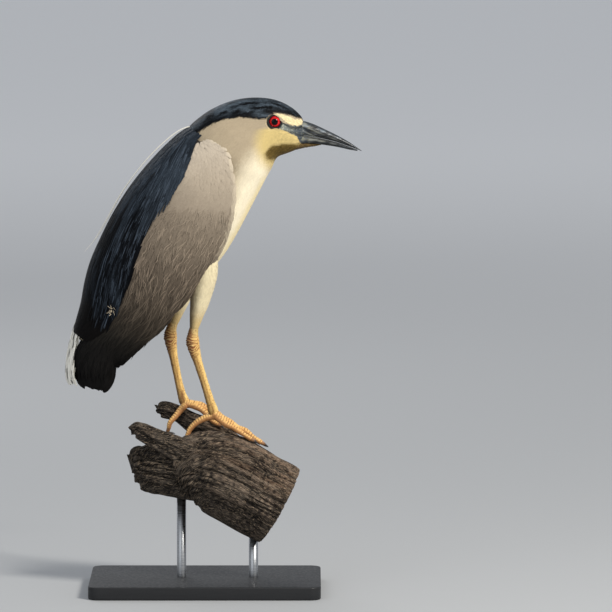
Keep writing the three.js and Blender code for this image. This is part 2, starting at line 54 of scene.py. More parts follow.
LEFT, RIGHT = 1, -1  # the sign of y on each side of the bird
SIDES = {"left": LEFT, "right": RIGHT}

# %% [markdown]
# ## Curves, ramps and noise
# A few small functions carry most of the modelling. A spline turns a short table of sizes into a
# smooth form, a ramp blends two things without an edge, and noise keeps repeated things from
# looking stamped. Each works on a whole array at once, which is what makes numpy quick.
# %% Curve, ramp and noise


def spline(rows, u):
    """A smooth line through evenly spaced rows. Between rows i and i + 1 it is the cubic that meets
    both with the slope of the line between their neighbours, and past the ends it runs straight on."""
    rows = np.asarray(rows, float)
    padded = np.vstack([2 * rows[0] - rows[1], rows, 2 * rows[-1] - rows[-2]])
    u = np.asarray(u, float)
    inside = np.clip(u, 0, len(rows) - 1)
    i = np.minimum(inside.astype(int), len(rows) - 2)
    f = (inside - i)[..., None]
    a, b, c, d = (padded[i + k] for k in range(4))
    curve = b + 0.5 * f * (c - a + f * (2 * a - 5 * b + 4 * c - d + f * (3 * (b - c) + d - a)))
    past = (u - inside)[..., None]
    return curve + np.where(past < 0, rows[1] - rows[0], rows[-1] - rows[-2]) * past


def heading_at(rows, u, axes=3):
    """The direction in which a line of rows goes on at u, from its first few columns."""
    return unit(spline(rows, u + STEP)[..., :axes] - spline(rows, u - STEP)[..., :axes])


def smooth(low, high, x):
    """0 below low and 1 above high, with the cubic 3t^2 - 2t^3 between them."""
    t = np.clip((x - low) / (high - low), 0, 1)
    return t * t * (3 - 2 * t)


def fade(low, high, x):
    """The other way round: 1 below low and 0 above high."""
    return 1 - smooth(low, high, x)


def bell(x, middle, width):
    """1 in the middle, falling off to both sides as e^-((x - middle) / width)^2."""
    return np.exp(-(((x - middle) / width) ** 2))


def noise(points, seed=0):
    """Value noise from -1 to 1: each corner of a unit lattice has a fixed random number, and a point
    blends the eight around it with the cubic ramp."""
    points = np.asarray(points, float)
    cell = np.floor(points)
    f = points - cell
    f = f * f * (3 - 2 * f)
    total = 0
    for dx in (0, 1):
        for dy in (0, 1):
            for dz in (0, 1):
                corner = cell + (dx, dy, dz)
                hashed = np.sin(corner @ (127.1, 311.7, 74.7) + 19.19 * seed) * 43758.5453
                weight = np.abs(1 - dx - f[..., 0]) * np.abs(1 - dy - f[..., 1]) * np.abs(1 - dz - f[..., 2])
                total = total + weight * (2 * (hashed - np.floor(hashed)) - 1)
    return total


def layered(points, layers=4, seed=0):
    """Noise summed over layers, each twice as fine and half as strong as the one before."""
    return sum(noise(points * 2.0**k, seed + k) / 2.0 ** (k + 1) for k in range(layers))


print("a ramp from 0 to 1 at a quarter:", smooth(0, 1, 0.25))

# %% Directions and colours


def unit(vectors):
    """Vectors of length one."""
    return vectors / np.maximum(np.linalg.norm(vectors, axis=-1, keepdims=True), 1e-12)


def joined(*parts):
    """Arrays side by side, along a new last axis: x, y and z make points."""
    return np.stack(parts, -1)


def run_along(points):
    """How far each point of a line is from the first: the sum of the steps between them."""
    return np.concatenate([[0], np.cumsum(np.linalg.norm(np.diff(points, axis=0), axis=1))])


def once_round(count):
    """So many angles, evenly spread over one turn."""
    return np.linspace(0, TURN, count, endpoint=False)


def alike(a, b):
    """Two numbers or arrays as arrays of one shape."""
    return np.broadcast_arrays(np.asarray(a, float), np.asarray(b, float))


def rgb(red, green, blue):
    """A screen colour of 0 to 255 as the linear colour that shaders use."""
    c = np.array([red, green, blue]) / 255
    return np.where(c <= 0.04045, c / 12.92, ((c + 0.055) / 1.055) ** 2.4)


def blend(a, b, share):
    """Colour a, moved towards b by share, which may differ from point to point."""
    share = np.asarray(share, float)[..., None]
    return np.asarray(a) * (1 - share) + np.asarray(b) * share


def coats(colour, *laid_on):
    """A colour with others laid on one after another, each as a pair: the colour and its share."""
    for other, share in laid_on:
        colour = blend(colour, other, share)
    return colour


# %% [markdown]
# ## Meshes from arrays
# A mesh is a list of points and a list of faces. A tube is rings of points joined by squares, with a
# polygon over each end, so it is closed. A feather is a tube too, a very flat one. One function
# therefore makes the faces of any number of tubes, and another puts points, faces, colours and
# maps into Blender.
# %% Faces of tubes


def tube_faces(rings, sides, count=1):
    """Squares and end polygons of count tubes that follow each other in the list of points."""
    i, j = np.meshgrid(np.arange(rings - 1), np.arange(sides), indexing="ij")
    after = (j + 1) % sides
    squares = joined(i * sides + j, i * sides + after, (i + 1) * sides + after, (i + 1) * sides + j)
    first = np.arange(sides)[::-1]
    last = (rings - 1) * sides + np.arange(sides)
    starts = (np.arange(count) * rings * sides)[:, None, None]
    ends = np.stack([first, last])
    return [(starts + part.reshape(1, -1, part.shape[-1])).reshape(-1, part.shape[-1])
            for part in (squares, ends)]


print("faces of a tube with 3 rings of 4 sides:", sum(len(part) for part in tube_faces(3, 4)))

def inside_out(points, faces):
    """Whether the faces point inwards: the sum of the signed volumes under their triangles is negative."""
    volume = 0.0
    for part in faces:
        for k in range(1, part.shape[1] - 1):
            a, b, c = points[part[:, 0]], points[part[:, k]], points[part[:, k + 1]]
            volume += np.einsum("ij,ij->", a, np.cross(b, c))
    return volume < 0


# %% A mesh object, and how it joins the bird


def add_piece(name, points, faces, tint=None, maps=None, marks=None):
    """A mesh object of points in millimetres and faces, an array for each number of corners. tint is
    a colour for each point, maps are named pairs and marks named numbers for each point."""
    points = np.asarray(points, float).reshape(-1, 3)
    if inside_out(points, faces):
        faces = [part[:, ::-1] for part in faces]
    mesh = bpy.data.meshes.new(name)
    corners = np.concatenate([part.ravel() for part in faces]).astype(np.int32)
    sizes = np.concatenate([np.full(len(part), part.shape[1]) for part in faces])
    mesh.vertices.add(len(points))
    mesh.vertices.foreach_set("co", (points * MM).ravel())
    mesh.loops.add(len(corners))
    mesh.loops.foreach_set("vertex_index", corners)
    mesh.polygons.add(len(sizes))
    mesh.polygons.foreach_set("loop_start", (np.cumsum(sizes) - sizes).astype(np.int32))
    mesh.polygons.foreach_set("use_smooth", np.ones(len(sizes), bool))
    mesh.update(calc_edges=True)
    for key, pairs in (maps or {}).items():
        mesh.uv_layers.new(name=key).data.foreach_set("uv", pairs.reshape(-1, 2)[corners].ravel())
    for key, numbers in (marks or {}).items():
        mesh.attributes.new(key, "FLOAT", "POINT").data.foreach_set("value", numbers.ravel())
    if tint is not None:
        colours = np.column_stack([np.clip(tint.reshape(-1, 3), 0, 1), np.ones(len(points))])
        mesh.color_attributes.new("Tint", "FLOAT_COLOR", "POINT").data.foreach_set("color", colours.ravel())
    piece = bpy.data.objects.new(name, mesh)
    bpy.context.scene.collection.objects.link(piece)
    triangles = int((sizes - 2).sum())
    print(f"{name}: {triangles} triangles")
    return piece


def hand_over(piece, slot, material, *replaced):
    """Rides a finished piece on the bird's one body, in its material, in place of CAD nodes. slot is not
    used.
    """
    piece.data.materials.append(material)
    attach(piece, "root")
    if replaced:
        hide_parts(*replaced)
    return piece


# %% [markdown]
# ## Materials as expressions
# A shader is a chain of nodes, and long chains are hard to read. Here one output of a node is
# wrapped in a small class that can add and multiply, so 1 + mask * 2 adds the Math nodes by itself.
# Every other node comes from one method that sets the node up and then joins its inputs.
# %% A node's output with arithmetic


class Flow:
    """One output of a node. A sum or product with it is a new flow, through a Math node."""

    def __init__(self, finish, socket):
        self.finish, self.socket = finish, socket

    def maths(self, operation, *values):
        return self.finish.node("ShaderNodeMath", {"operation": operation}, dict(enumerate(values)))

    def __add__(self, other):
        return self.maths("ADD", self, other)

    def __mul__(self, other):
        return self.maths("MULTIPLY", self, other)

    __radd__, __rmul__ = __add__, __mul__

    def ramp(self, low, high, bottom=0.0, top=1.0):
        """This flow's range from low to high, stretched smoothly over bottom to top."""
        settings = {"interpolation_type": "SMOOTHSTEP"}
        return self.finish.node("ShaderNodeMapRange", settings, {0: self, 1: low, 2: high, 3: bottom, 4: top})


# %% A material to put nodes in


class Finish:
    """A material with one Principled shader. constants are set on the shader's own sockets."""

    def __init__(self, name, **constants):
        self.material = bpy.data.materials.new(name)
        self.material.use_nodes = True
        self.tree = self.material.node_tree
        self.shader = self.tree.nodes["Principled BSDF"]
        for key, value in constants.items():
            self.shader.inputs[key.replace("_", " ")].default_value = value

    def node(self, kind, settings=None, inputs=None, output=0):
        """A node of a kind: its settings first, then a value or a flow into each named input."""
        made = self.tree.nodes.new(kind)
        for key, value in (settings or {}).items():
            setattr(made, key, value)
        for key, value in (inputs or {}).items():
            if isinstance(value, Flow):
                self.tree.links.new(value.socket, made.inputs[key])
            else:
                made.inputs[key].default_value = value
        return Flow(self, made.outputs[output])

    def place(self):
        """A point's place on the piece, in metres."""
        return self.node("ShaderNodeTexCoord", output="Object")

    def mark(self, name, output="Fac"):
        """A number or colour stored on the mesh."""
        return self.node("ShaderNodeAttribute", {"attribute_name": name}, output=output)

    def map(self, name):
        """A map stored on the mesh."""
        return self.node("ShaderNodeUVMap", {"uv_map": name})

    def stretch(self, where, scale):
        """A place with each axis scaled, so that a pattern on it is drawn out."""
        return self.node("ShaderNodeMapping", None, {"Vector": where, "Scale": scale})

    def grain(self, where, scale, detail=3.0, roughness=0.5, distortion=0.0):
        """Fractal noise from 0 to 1."""
        inputs = {"Scale": scale, "Detail": detail, "Roughness": roughness, "Distortion": distortion}
        return self.node("ShaderNodeTexNoise", None, {"Vector": where, **inputs})

    def cell_edges(self, where, scale):
        """Distance to the edges in a pattern of cells, as in scaly skin."""
        return self.node("ShaderNodeTexVoronoi", {"feature": "DISTANCE_TO_EDGE"},
                         {"Vector": where, "Scale": scale, "Randomness": 1.0})

    def mix(self, share, a, b, how="MIX"):
        """Colour a moved towards colour b, or blended with it another way."""
        colour = [c if isinstance(c, Flow) else (*c, 1.0) for c in (a, b)]
        return self.node("ShaderNodeMix", {"data_type": "RGBA", "blend_type": how},
                         {0: share, 6: colour[0], 7: colour[1]}, output=2)

    def bump(self, height, depth, strength=1.0):
        """A normal tilted by a height from 0 to 1, where 1 stands for depth metres."""
        return self.node("ShaderNodeBump", None, {"Strength": strength, "Distance": depth, "Height": height})

    def wear(self, **flows):
        """Joins flows to the shader's sockets and returns the material."""
        for key, flow in flows.items():
            self.tree.links.new(flow.socket, self.shader.inputs[key.replace("_", " ")])
        return self.material


# %% [markdown]
# ## Camera, floor and light
# The bird is seen from its right side, from a little above, through a long lens, which keeps the
# bill and the tail at one scale. Large soft lights stand on both sides, the stronger one ahead of
# the bird, and a pale floor runs so far out that its edge is never near the bird.
# %% Camera
VIEW_AIM = Vector((0.109, 0.0, 0.309))
VIEW_DISTANCE = 6.0
VIEW_TILT = math.radians(6)  # how far the camera looks down
VIEW_WIDTH = 0.661  # how much the lens takes in at the bird
VIEW_END = 100
SENSOR = 36.0

lens = bpy.data.cameras.new("camera")
lens.sensor_width = SENSOR
lens.lens = SENSOR * VIEW_DISTANCE / VIEW_WIDTH
lens.clip_end = VIEW_END
camera = bpy.data.objects.new("camera", lens)
camera.location = VIEW_AIM + VIEW_DISTANCE * Vector((0, -math.cos(VIEW_TILT), math.sin(VIEW_TILT)))
camera.rotation_euler = (math.pi / 2 - VIEW_TILT, 0, 0)
bpy.context.scene.collection.objects.link(camera)
bpy.context.scene.camera = camera
bpy.context.scene.view_settings.view_transform = "Standard"
print("lens:", round(lens.lens, 1))

# %% Lights
LIGHT_TARGET = Vector((0, 0, 0.3))  # the middle of the bird


def add_light(name, place, size, power, colour=(1, 1, 1)):
    """A square soft light that faces the bird."""
    lamp = bpy.data.lights.new(name, "AREA")
    lamp.size = size
    lamp.energy = power
    lamp.color = colour
    light = bpy.data.objects.new(name, lamp)
    light.location = place
    light.rotation_euler = (LIGHT_TARGET - Vector(place)).to_track_quat("-Z", "Y").to_euler()
    bpy.context.scene.collection.objects.link(light)


add_light("key_light", (1.9, -1.9, 2.3), 0.7, 108, (1.0, 0.955, 0.88))
add_light("fill_light", (-1.6, -2.2, 1.2), 2.0, 11.5, (0.93, 0.96, 1.0))
add_light("back_light", (-0.9, 1.9, 1.7), 1.2, 10)
WORLD_STRENGTH = 0.5
world = bpy.data.worlds.new("studio")
world.use_nodes = True
world.node_tree.nodes["Background"].inputs["Color"].default_value = (0.88, 0.92, 0.98, 1)
world.node_tree.nodes["Background"].inputs["Strength"].default_value = WORLD_STRENGTH
bpy.context.scene.world = world
print("lights:", len(bpy.data.lights))

# %% [markdown]
# ## Floor
# The floor is a pale disc, wide enough that its edge is never seen. The lamps only light the middle
# of it, so its paint is a little darker there, and the floor then has one even tone.
# %% Floor
FLOOR_RADIUS, FLOOR_SIDES = 60000.0, 96
FLOOR_LEVELS = (-20.0, -0.2)  # the top is a hair under the stand
floor_ring = once_round(FLOOR_SIDES)
floor_points = np.array([[FLOOR_RADIUS * np.cos(floor_ring), FLOOR_RADIUS * np.sin(floor_ring),
                          level + 0 * floor_ring]
                         for level in FLOOR_LEVELS]).transpose(0, 2, 1)
floor = add_piece("floor", floor_points, tube_faces(len(FLOOR_LEVELS), FLOOR_SIDES))
floor_finish = Finish("floor_paint", Roughness=0.9, Specular_IOR_Level=0.2)
floor_place = floor_finish.place()
off_middle = floor_finish.node("ShaderNodeVectorMath", {"operation": "LENGTH"}, {0: floor_place},
                               output="Value")
floor.data.materials.append(floor_finish.wear(
    Base_Color=floor_finish.mix(off_middle.ramp(0.6, 6.5), rgb(176, 178, 180), rgb(250, 250, 250))))
floor.data.polygons.foreach_set("use_smooth", np.zeros(len(floor.data.polygons), bool))

# %% [markdown]
# ## The bird's form
# A heron is built like a sail on a mast: every cross-section is an egg whose long axis runs from
# the back to the breast. Each rib below is one such axis in the bird's middle plane, with the half
# width of the body there, what the folded wings add on each side, and how far they hang past the
# breast. A spline through the ribs gives the whole form as one function of two numbers: u runs from
# the bill's root to the wing tips, and turn goes round from the back over the left side.
# %% Ribs and the form between them
RIBS = np.array([
    [106.9, 508.1, 105.8, 483.8, 7.0, 0, 0],
    [103.0, 515.2, 101.5, 480.4, 11.0, 0, 0],
    [94.0, 523.4, 96.1, 477.4, 15.5, 0, 0],
    [81.0, 530.3, 87.5, 474.1, 19.5, 0, 0],
    [65.9, 533.9, 79.9, 471.4, 22.0, 0, 0],
    [46.4, 534.1, 76.1, 467.8, 24.5, 0, 0],
    [26.0, 530.0, 74.3, 464.0, 28.0, 1, 0],
    [4.3, 520.2, 72.0, 458.5, 33.0, 2.5, 0],
    [-16.2, 504.6, 65.4, 446.6, 38.0, 4.5, 0],
    [-37.3, 487.4, 57.0, 430.4, 43.0, 6.5, 0],
    [-59.4, 464.6, 46.2, 409.6, 47.0, 8, 1],
    [-80.6, 438.2, 34.2, 387.0, 50.0, 9, 2],
    [-99.6, 408.0, 20.3, 364.6, 51.0, 9, 4],
    [-113.6, 380.0, 4.2, 346.0, 50.0, 9, 8],
    [-123.4, 357.2, -17.3, 328.0, 46.0, 9, 15],
    [-129.6, 335.0, -43.2, 309.2, 39.0, 9, 26],
    [-133.4, 314.0, -68.0, 290.6, 30.0, 10, 32],
    [-138.4, 295.6, -89.6, 272.4, 21.0, 12, 28],
    [-143.0, 278.0, -104.8, 254.0, 13.0, 14, 18],
    [-146.0, 252.0, -104.0, 240.0, 8.0, 16, 12],
    [-143.0, 228.0, -100.0, 221.0, 5.0, 16, 6],
    [-133.0, 213.0, -104.0, 209.0, 3.0, 12, 0],
])
LAST_RIB = len(RIBS) - 1
RUMP_RIB = 18  # where the body itself ends, under the tail's root
BACK_COVER = 4.5  # how deep the body lies under the feathers of the back
OVAL = 0.92  # a power a little under 1 makes a section fuller than an ellipse
THINNEST = 0.6


def body_form(u, turn, winged=False, deeper=0.0):
    """A point of the body, or of the whole bird with its wings folded, deeper by some millimetres.
    Across a rib it is an oval: cos(turn) goes along the rib and |sin(turn)|^OVAL is the reach."""
    u, turn = alike(u, turn)
    rib = spline(RIBS, u)
    back, front = rib[..., 0:2], rib[..., 2:4]
    down = unit(front - back)
    inset = 0 if winged else BACK_COVER * smooth(6.5, 9, u)
    back = back + down * (inset + deeper * np.ones_like(u))[..., None]
    front = front + down * ((rib[..., 6] if winged else 0) - deeper * np.ones_like(u))[..., None]
    half = np.maximum(rib[..., 4] + (rib[..., 5] if winged else 0) - deeper, THINNEST)
    fall = ((1 - np.cos(turn)) / 2)[..., None]
    reach = np.sign(np.sin(turn)) * np.abs(np.sin(turn)) ** OVAL
    middle = back * (1 - fall) + front * fall
    return joined(middle[..., 0], half * reach, middle[..., 1])


def winged_form(u, turn):
    """The form with folded wings."""
    return body_form(u, turn, winged=True)


print("ribs:", len(RIBS), "widest:", 2 * RIBS[:, 4].max(), "mm")

# %% From a place back to its rib


def rib_at(points):
    """For places x, z in the middle plane, the rib u through each and how far along it the place is,
    from 0 at the back to 1 at the edge of the winged form. Each rib's line is a signed distance away;
    u is found where that distance changes sign, then made exact by the secant rule."""
    points = np.asarray(points, float).reshape(-1, 2)

    def along_and_off(u):
        rib = spline(RIBS, u)
        axis = rib[..., 2:4] - rib[..., 0:2]
        size = np.linalg.norm(axis, axis=-1)
        offset = points[:, None] - rib[..., 0:2] if rib.ndim == 3 else points - rib[..., 0:2]
        off = (offset[..., 0] * axis[..., 1] - offset[..., 1] * axis[..., 0]) / size
        along = np.einsum("...i,...i->...", offset, axis) / size
        return along / (size + rib[..., 6]), off

    marks = np.linspace(0, LAST_RIB, 4 * LAST_RIB + 1)
    fall, off = along_and_off(np.broadcast_to(marks, (len(points), len(marks))))
    crossing = np.sign(off[:, :-1]) != np.sign(off[:, 1:])
    doubt = np.abs(fall[:, :-1] - 0.5) + 1e3 * ~crossing
    first = np.argmin(doubt, axis=1)
    rows = np.arange(len(points))
    low, high = marks[first], marks[first + 1]
    off_low, off_high = off[rows, first], off[rows, first + 1]
    for _ in range(4):
        u = low + (high - low) * np.clip(off_low / (off_low - off_high + 1e-12), 0, 1)
        fall_u, off_u = along_and_off(u)
        left = np.sign(off_u) == np.sign(off_low)
        low, off_low = np.where(left, u, low), np.where(left, off_u, off_low)
        high, off_high = np.where(left, high, u), np.where(left, off_high, off_u)
    return u, np.clip(fall_u, 0, 1)


# %% [markdown]
# ## Where wing, back and breast meet
# The folded wing is the panel that fills most of a heron's side. In the bird's middle plane it has a
# front edge, which runs from the wrist down to the wing tip, and a back edge, where the dark feathers
# of the back lie over it. Two numbers place a feather on that panel: s along it and t across it.
# %% The wing's edges
WING_FRONT = np.array([[2, 493], [22.5, 479.5], [32.8, 441], [30, 405], [19.5, 373.5], [-1, 340],
                       [-25, 313.5], [-45, 288], [-64, 273], [-88, 262], [-98, 238], [-107, 218.5]])
WING_BACK = np.array([[-7, 489], [-13.5, 466], [-24, 443], [-50, 413], [-72, 382], [-83, 354],
                      [-90, 330], [-103, 299], [-122, 281], [-134, 268], [-136, 243], [-124, 219]])
EDGE_SPAN = len(WING_FRONT) - 1


def wing_place(s, t):
    """The place x, z of s along and t across the wing: a straight blend of its two edges."""
    s = np.asarray(s, float)
    share = np.asarray(t, float)[..., None]
    return spline(WING_FRONT, s * EDGE_SPAN) * (1 - share) + spline(WING_BACK, s * EDGE_SPAN) * share


def turn_at(fall):
    """The turn at a share of the way along a rib: the inverse of (1 - cos(turn)) / 2."""
    return np.arccos(np.clip(1 - 2 * fall, -1, 1))


def edge_turn(edge):
    """The turn, as a function of u, at which the winged form passes under an edge of the wing."""
    u, fall = rib_at(spline(edge, np.linspace(0, EDGE_SPAN, 300)))
    order = np.argsort(u)
    return lambda at: np.interp(at, u[order], turn_at(fall)[order])


front_turn = edge_turn(WING_FRONT)
back_turn = edge_turn(WING_BACK)
for u in (6.5, 8, 10, 12, 14, 16, 18, 20):
    print("rib", u, "wing from", round(float(back_turn(u)), 2), "to", round(float(front_turn(u)), 2))

# %% [markdown]
# ## A feather that follows the bird
# A feather leaves the skin at its root and lies back over the feathers behind it, like a roof tile. To
# make it follow any form, its midline is walked: at each step the form gives its surface there, and
# the next step goes on along that surface. The feather's cross-section, a flat arch, is then hung on
# the midline. It starts deep and ends on top, so rows overlap the right way by themselves.
# %% Walking over a form


def walk(form, place, length, stations, heading=0.0, towards=None, bounds=None):
    """Midlines of feathers on a form. place is each root's two numbers, stations the shares of its
    length at which it is wanted. Each step goes along the tangent plane, at a heading from the form's
    first direction, or towards a direction in space that may change from root to tip. A midline that
    passes the form's bounds runs straight on. Returns points, directions along and outwards."""
    place = np.array(place, float)
    length = np.broadcast_to(length, len(place))[:, None]
    centre = form(*place.T)
    points, alongs, outs = [], [], []
    last = 0.0
    for k, station in enumerate(stations):
        slope_p = (form(place[:, 0] + STEP, place[:, 1]) - form(*place.T)) / STEP
        slope_q = (form(place[:, 0], place[:, 1] + STEP) - form(*place.T)) / STEP
        out = unit(np.cross(slope_q, slope_p))
        if towards is None:
            first = unit(slope_p)
            angle = np.broadcast_to(heading, len(place))[:, None]
            along = first * np.cos(angle) + np.cross(out, first) * np.sin(angle)
        else:
            wanted = towards[0] * (1 - station) + towards[1] * station
            along = unit(wanted - out * (wanted * out).sum(1, keepdims=True))
        if bounds is not None and k:
            free = ~bounds(place)[:, None]
            along = np.where(free, alongs[-1], along)
            out = np.where(free, outs[-1], out)
        else:
            free = np.zeros((len(place), 1), bool)
        if k:
            centre = np.where(free, centre + along * length * (station - last), form(*place.T))
        points.append(centre)
        alongs.append(along)
        outs.append(out)
        last = station
        if k + 1 < len(stations):
            step = along * length * (stations[k + 1] - station)
            pp, pq, qq = ((a * b).sum(1) for a, b in
                          ((slope_p, slope_p), (slope_p, slope_q), (slope_q, slope_q)))
            sp, sq = (step * slope_p).sum(1), (step * slope_q).sum(1)
            spread = np.maximum(pp * qq - pq * pq, 1e-9)
            place = place + joined((qq * sp - pq * sq) / spread, (pp * sq - pq * sp) / spread)
    return tuple(np.stack(part, 1) for part in (points, alongs, outs))


# %% [markdown]
# ## From midlines to feathers
# Body feathers are small and loose, so each is a lock of three edges. Feathers of the wing, back and
# tail have a shaft and two vanes, so their section has six edges and a thin, curved blade. The
# outline narrows at the root and rounds off at the tip.
# %% Feathers as meshes
LOCK = np.array([[-1, 0], [0, 1], [1, 0]], float)  # across and height of each edge of the section
VANE = np.array([[-1, 0], [-0.5, 0.55], [0, 1], [0.5, 0.55], [1, 0], [0, -0.5]], float)
PATCH = 0.003  # the size of one feather on the map for baking
ROOT_BREADTH = 0.45  # a feather's breadth at its root, as a share of the most
THINNEST_TIP = 0.05


def feather_outline(t, blunt):
    """Half a feather's breadth as a share of the most: it widens over the first third, then follows a
    quarter of an ellipse that starts at blunt and ends at the tip."""
    widening = ROOT_BREADTH + (1 - ROOT_BREADTH) * smooth(0, 0.35, t)
    return widening * np.sqrt(np.clip(1 - np.clip((t - blunt) / (1 - blunt), 0, 1) ** 2, 0, 1))


# %% Many feathers as one mesh


def feathers(name, lines, stations, breadth, tint, at, section=LOCK, thick=0.35, blunt=0.3, deep=2.0,
             lift=0.0, roll=0.0, camber=0.15, root_shade=0.55, curl=0.0, base=0.0, wave=0.0):
    """A mesh of many feathers. lines are their midlines, tint a colour for each, at its root on the
    bake map from 0 to 1. deep is how far the root lies under the form, lift how far the tip stands
    off it, base how far the whole feather does, roll the turn about the midline, curl the tip's way
    sideways and wave the reach of one wave to either side. The rims and ends are creases, so that a
    thin blade is shaded as flat as it is."""
    points, alongs, outs = lines
    count, rings = points.shape[:2]
    column = (lambda x: np.broadcast_to(np.asarray(x, float), count)[:, None, None])
    t = np.asarray(stations)[None, :, None]
    across, high = section[None, None, :, 0], section[None, None, :, 1]
    outline = np.maximum(feather_outline(t, blunt), THINNEST_TIP)
    half = column(breadth) / 2 * outline
    sideways = np.cross(outs, alongs)
    angle = column(roll) * np.ones_like(t)
    side = sideways * np.cos(angle) + outs * np.sin(angle)
    up = outs * np.cos(angle) - sideways * np.sin(angle)
    height = column(base) - column(deep) * fade(0, 0.75, t) + column(lift) * t**2
    height = height + column(thick) * high * outline - column(camber) * half * across**2
    shift = across * half + column(curl) * t**2 + column(wave) * np.sin(TURN * t)
    mesh_points = (points[:, :, None] + side[:, :, None] * shift[..., None]
                   + up[:, :, None] * height[..., None])
    # painted shade: each feather is darker towards its root, where it lies under others
    shade = root_shade + (1 - root_shade) * smooth(0.05, 0.5, t)
    colour = np.asarray(tint, float).reshape(count, 1, 1, 3) * (shade * np.ones_like(across))[..., None]
    patch = np.stack(np.broadcast_arrays(across / 2, t - 0.5), -1)
    bake_map = np.asarray(at)[:, None, None, :] * (1 - 2 * PATCH) + PATCH + PATCH * patch
    bake_map = np.broadcast_to(bake_map, (count, rings, len(section), 2))
    blade = np.stack(np.broadcast_arrays(across * half, t * column(np.linalg.norm(
        points[:, -1] - points[:, 0], axis=-1))), -1) * MM
    blade = np.broadcast_to(blade, (count, rings, len(section), 2))
    seed = np.broadcast_to(np.random.default_rng(len(name)).random(count)[:, None, None],
                           (count, rings, len(section)))
    piece = add_piece(name, mesh_points, tube_faces(rings, len(section), count), tint=colour,
                      maps={"OFBake": bake_map, "Blade": blade}, marks={"Feather": seed})
    edges = np.empty((len(piece.data.edges), 2), np.int32)
    piece.data.edges.foreach_get("vertices", edges.ravel())
    corner, ring = edges % len(section), edges // len(section) % rings
    rim = (np.abs(section[corner[:, 0], 0]) == 1) & (corner[:, 0] == corner[:, 1])
    end = (ring[:, 0] == ring[:, 1]) & np.isin(ring[:, 0], (0, rings - 1))
    crease = piece.data.attributes.new("sharp_edge", "BOOLEAN", "EDGE")
    crease.data.foreach_set("value", rim | end)
    return piece


# %% Where feathers stand
JITTER = 0.35  # how far a root is moved off its place, as a share of the distance to the next


def rows_of_roots(form, first, last, spacing, gap, across, rng):
    """Roots in rows over a form. spacing(p) is the distance between rows and gap(p) the distance along
    a row, in millimetres; across(p) gives a row's first and last second number. Rows step down the
    form's middle, roots are evenly spread by arc length, and each is moved a little at random."""
    roots = []
    p = first
    row = 0
    while p < last:
        start, end = across(p)
        q = np.linspace(start, end, 240)
        line = form(np.full_like(q, p), q)
        run = run_along(line)
        wanted = np.arange((row % 2) * gap(p) / 2, run[-1] + 1e-6, gap(p))
        wanted = np.clip(wanted + rng.uniform(-JITTER, JITTER, len(wanted)) * gap(p), 0, run[-1])
        middle = (start + end) / 2
        per_rib = np.linalg.norm(form(p + STEP, middle + 0.6) - form(p, middle + 0.6)) / STEP
        p_jitter = rng.uniform(-JITTER, JITTER, len(wanted)) * spacing(p) / per_rib
        roots.append(joined(p + p_jitter, np.interp(wanted, run, q)))
        p += spacing(p) / per_rib
        row += 1
    return np.concatenate(roots)


def map_of(roots):
    """Roots on the bake map: their two numbers, each stretched over 0 to 1."""
    low, high = roots.min(0), roots.max(0)
    return (roots - low) / np.maximum(high - low, 1e-9)


def each(colour, count):
    """One colour for each of count feathers."""
    return np.broadcast_to(colour, (count, 3))


def vary(tint, amount, rng):
    """Each feather's colour made lighter or darker at random by up to amount."""
    return tint * (1 + rng.uniform(-amount, amount, (len(tint), 1)))


# %% [markdown]
# ## Markings
# The skin and the feathers on it must agree about where each colour is, so one function tells the
# colour of any place on the body. The heron's signs are a black cap that runs down the nape, a pale
# stripe over the bare lores, a yellow tinge on the face, and a neck that goes from grey-buff at the
# side to cream in front.
# %% Colours of the body
CAP_EDGE = np.array([[-40, 468], [-27, 479], [-16, 488.4], [-5, 497.2], [8, 505.2], [22, 510.4],
                     [38, 512.4], [54, 511.2], [62.5, 510.2], [67, 510], [69, 515.4], [76, 518], [84, 517],
                     [93.5, 515.2], [98.5, 512.6], [110, 511]])
CHEEK_EDGE = np.array([[60, 499], [67, 501.6], [73, 500.6], [83, 498.6], [90, 495.7], [98.6, 491.4],
                       [101, 488.2], [103, 484], [112, 480]])
CHIN_EDGE = np.array([[62, 473], [68, 479.5], [75, 483.6], [83, 484.6], [93, 485.4], [103, 485],
                      [112, 483.5]])
STRIPE_TOP = np.array([[70, 514.0], [74, 515.4], [78.5, 516.2], [83.5, 515.6], [88.6, 514.2], [94.3, 512],
                       [98.6, 510.2], [102, 510.2], [104.4, 511.0], [107.5, 508]])
STRIPE_LOW = np.array([[70, 514.5], [74, 515.6], [79.2, 515], [83.5, 511], [87.8, 507.6], [93.6, 504.8],
                       [100, 504], [105.8, 505.8], [107.5, 507]])
EYE = np.array([75.4, 509.8])  # x, z
EYE_RADIUS = 7.6
EYE_OUT = 14.4  # from the middle plane to the eyeball's middle
LID_REACH = 9.2  # how far the bare lids reach from the eye's middle

# the first colour below is painted sheen: the lighter slate of the cap's top; the cap's own colour is the
# near black of its rim
CAP_SHEEN = rgb(78, 89, 99)
CAP_RIM = rgb(15, 17, 20)
BACK = rgb(8, 10, 14)
BUFF = rgb(164, 149, 124)
CREAM = rgb(247, 235, 206)
BELLY = rgb(238, 227, 199)
FACE = rgb(208, 185, 122)
# the next colour, the chin's olive, is darkened by painted shade under the jaw
CHIN_IN_SHADE = rgb(92, 71, 28)
LORES = rgb(126, 133, 126)
STRIPE = rgb(228, 211, 165)


# %% The colour of a place


def line_height(line, x):
    """A marking's edge: its height over x."""
    return np.interp(x, line[:, 0], line[:, 1])


def marking_height(points):
    """Heights to compare with those edges: an edge rises by a tenth of its way out to the side."""
    return points[..., 2] - 0.1 * np.abs(points[..., 1])


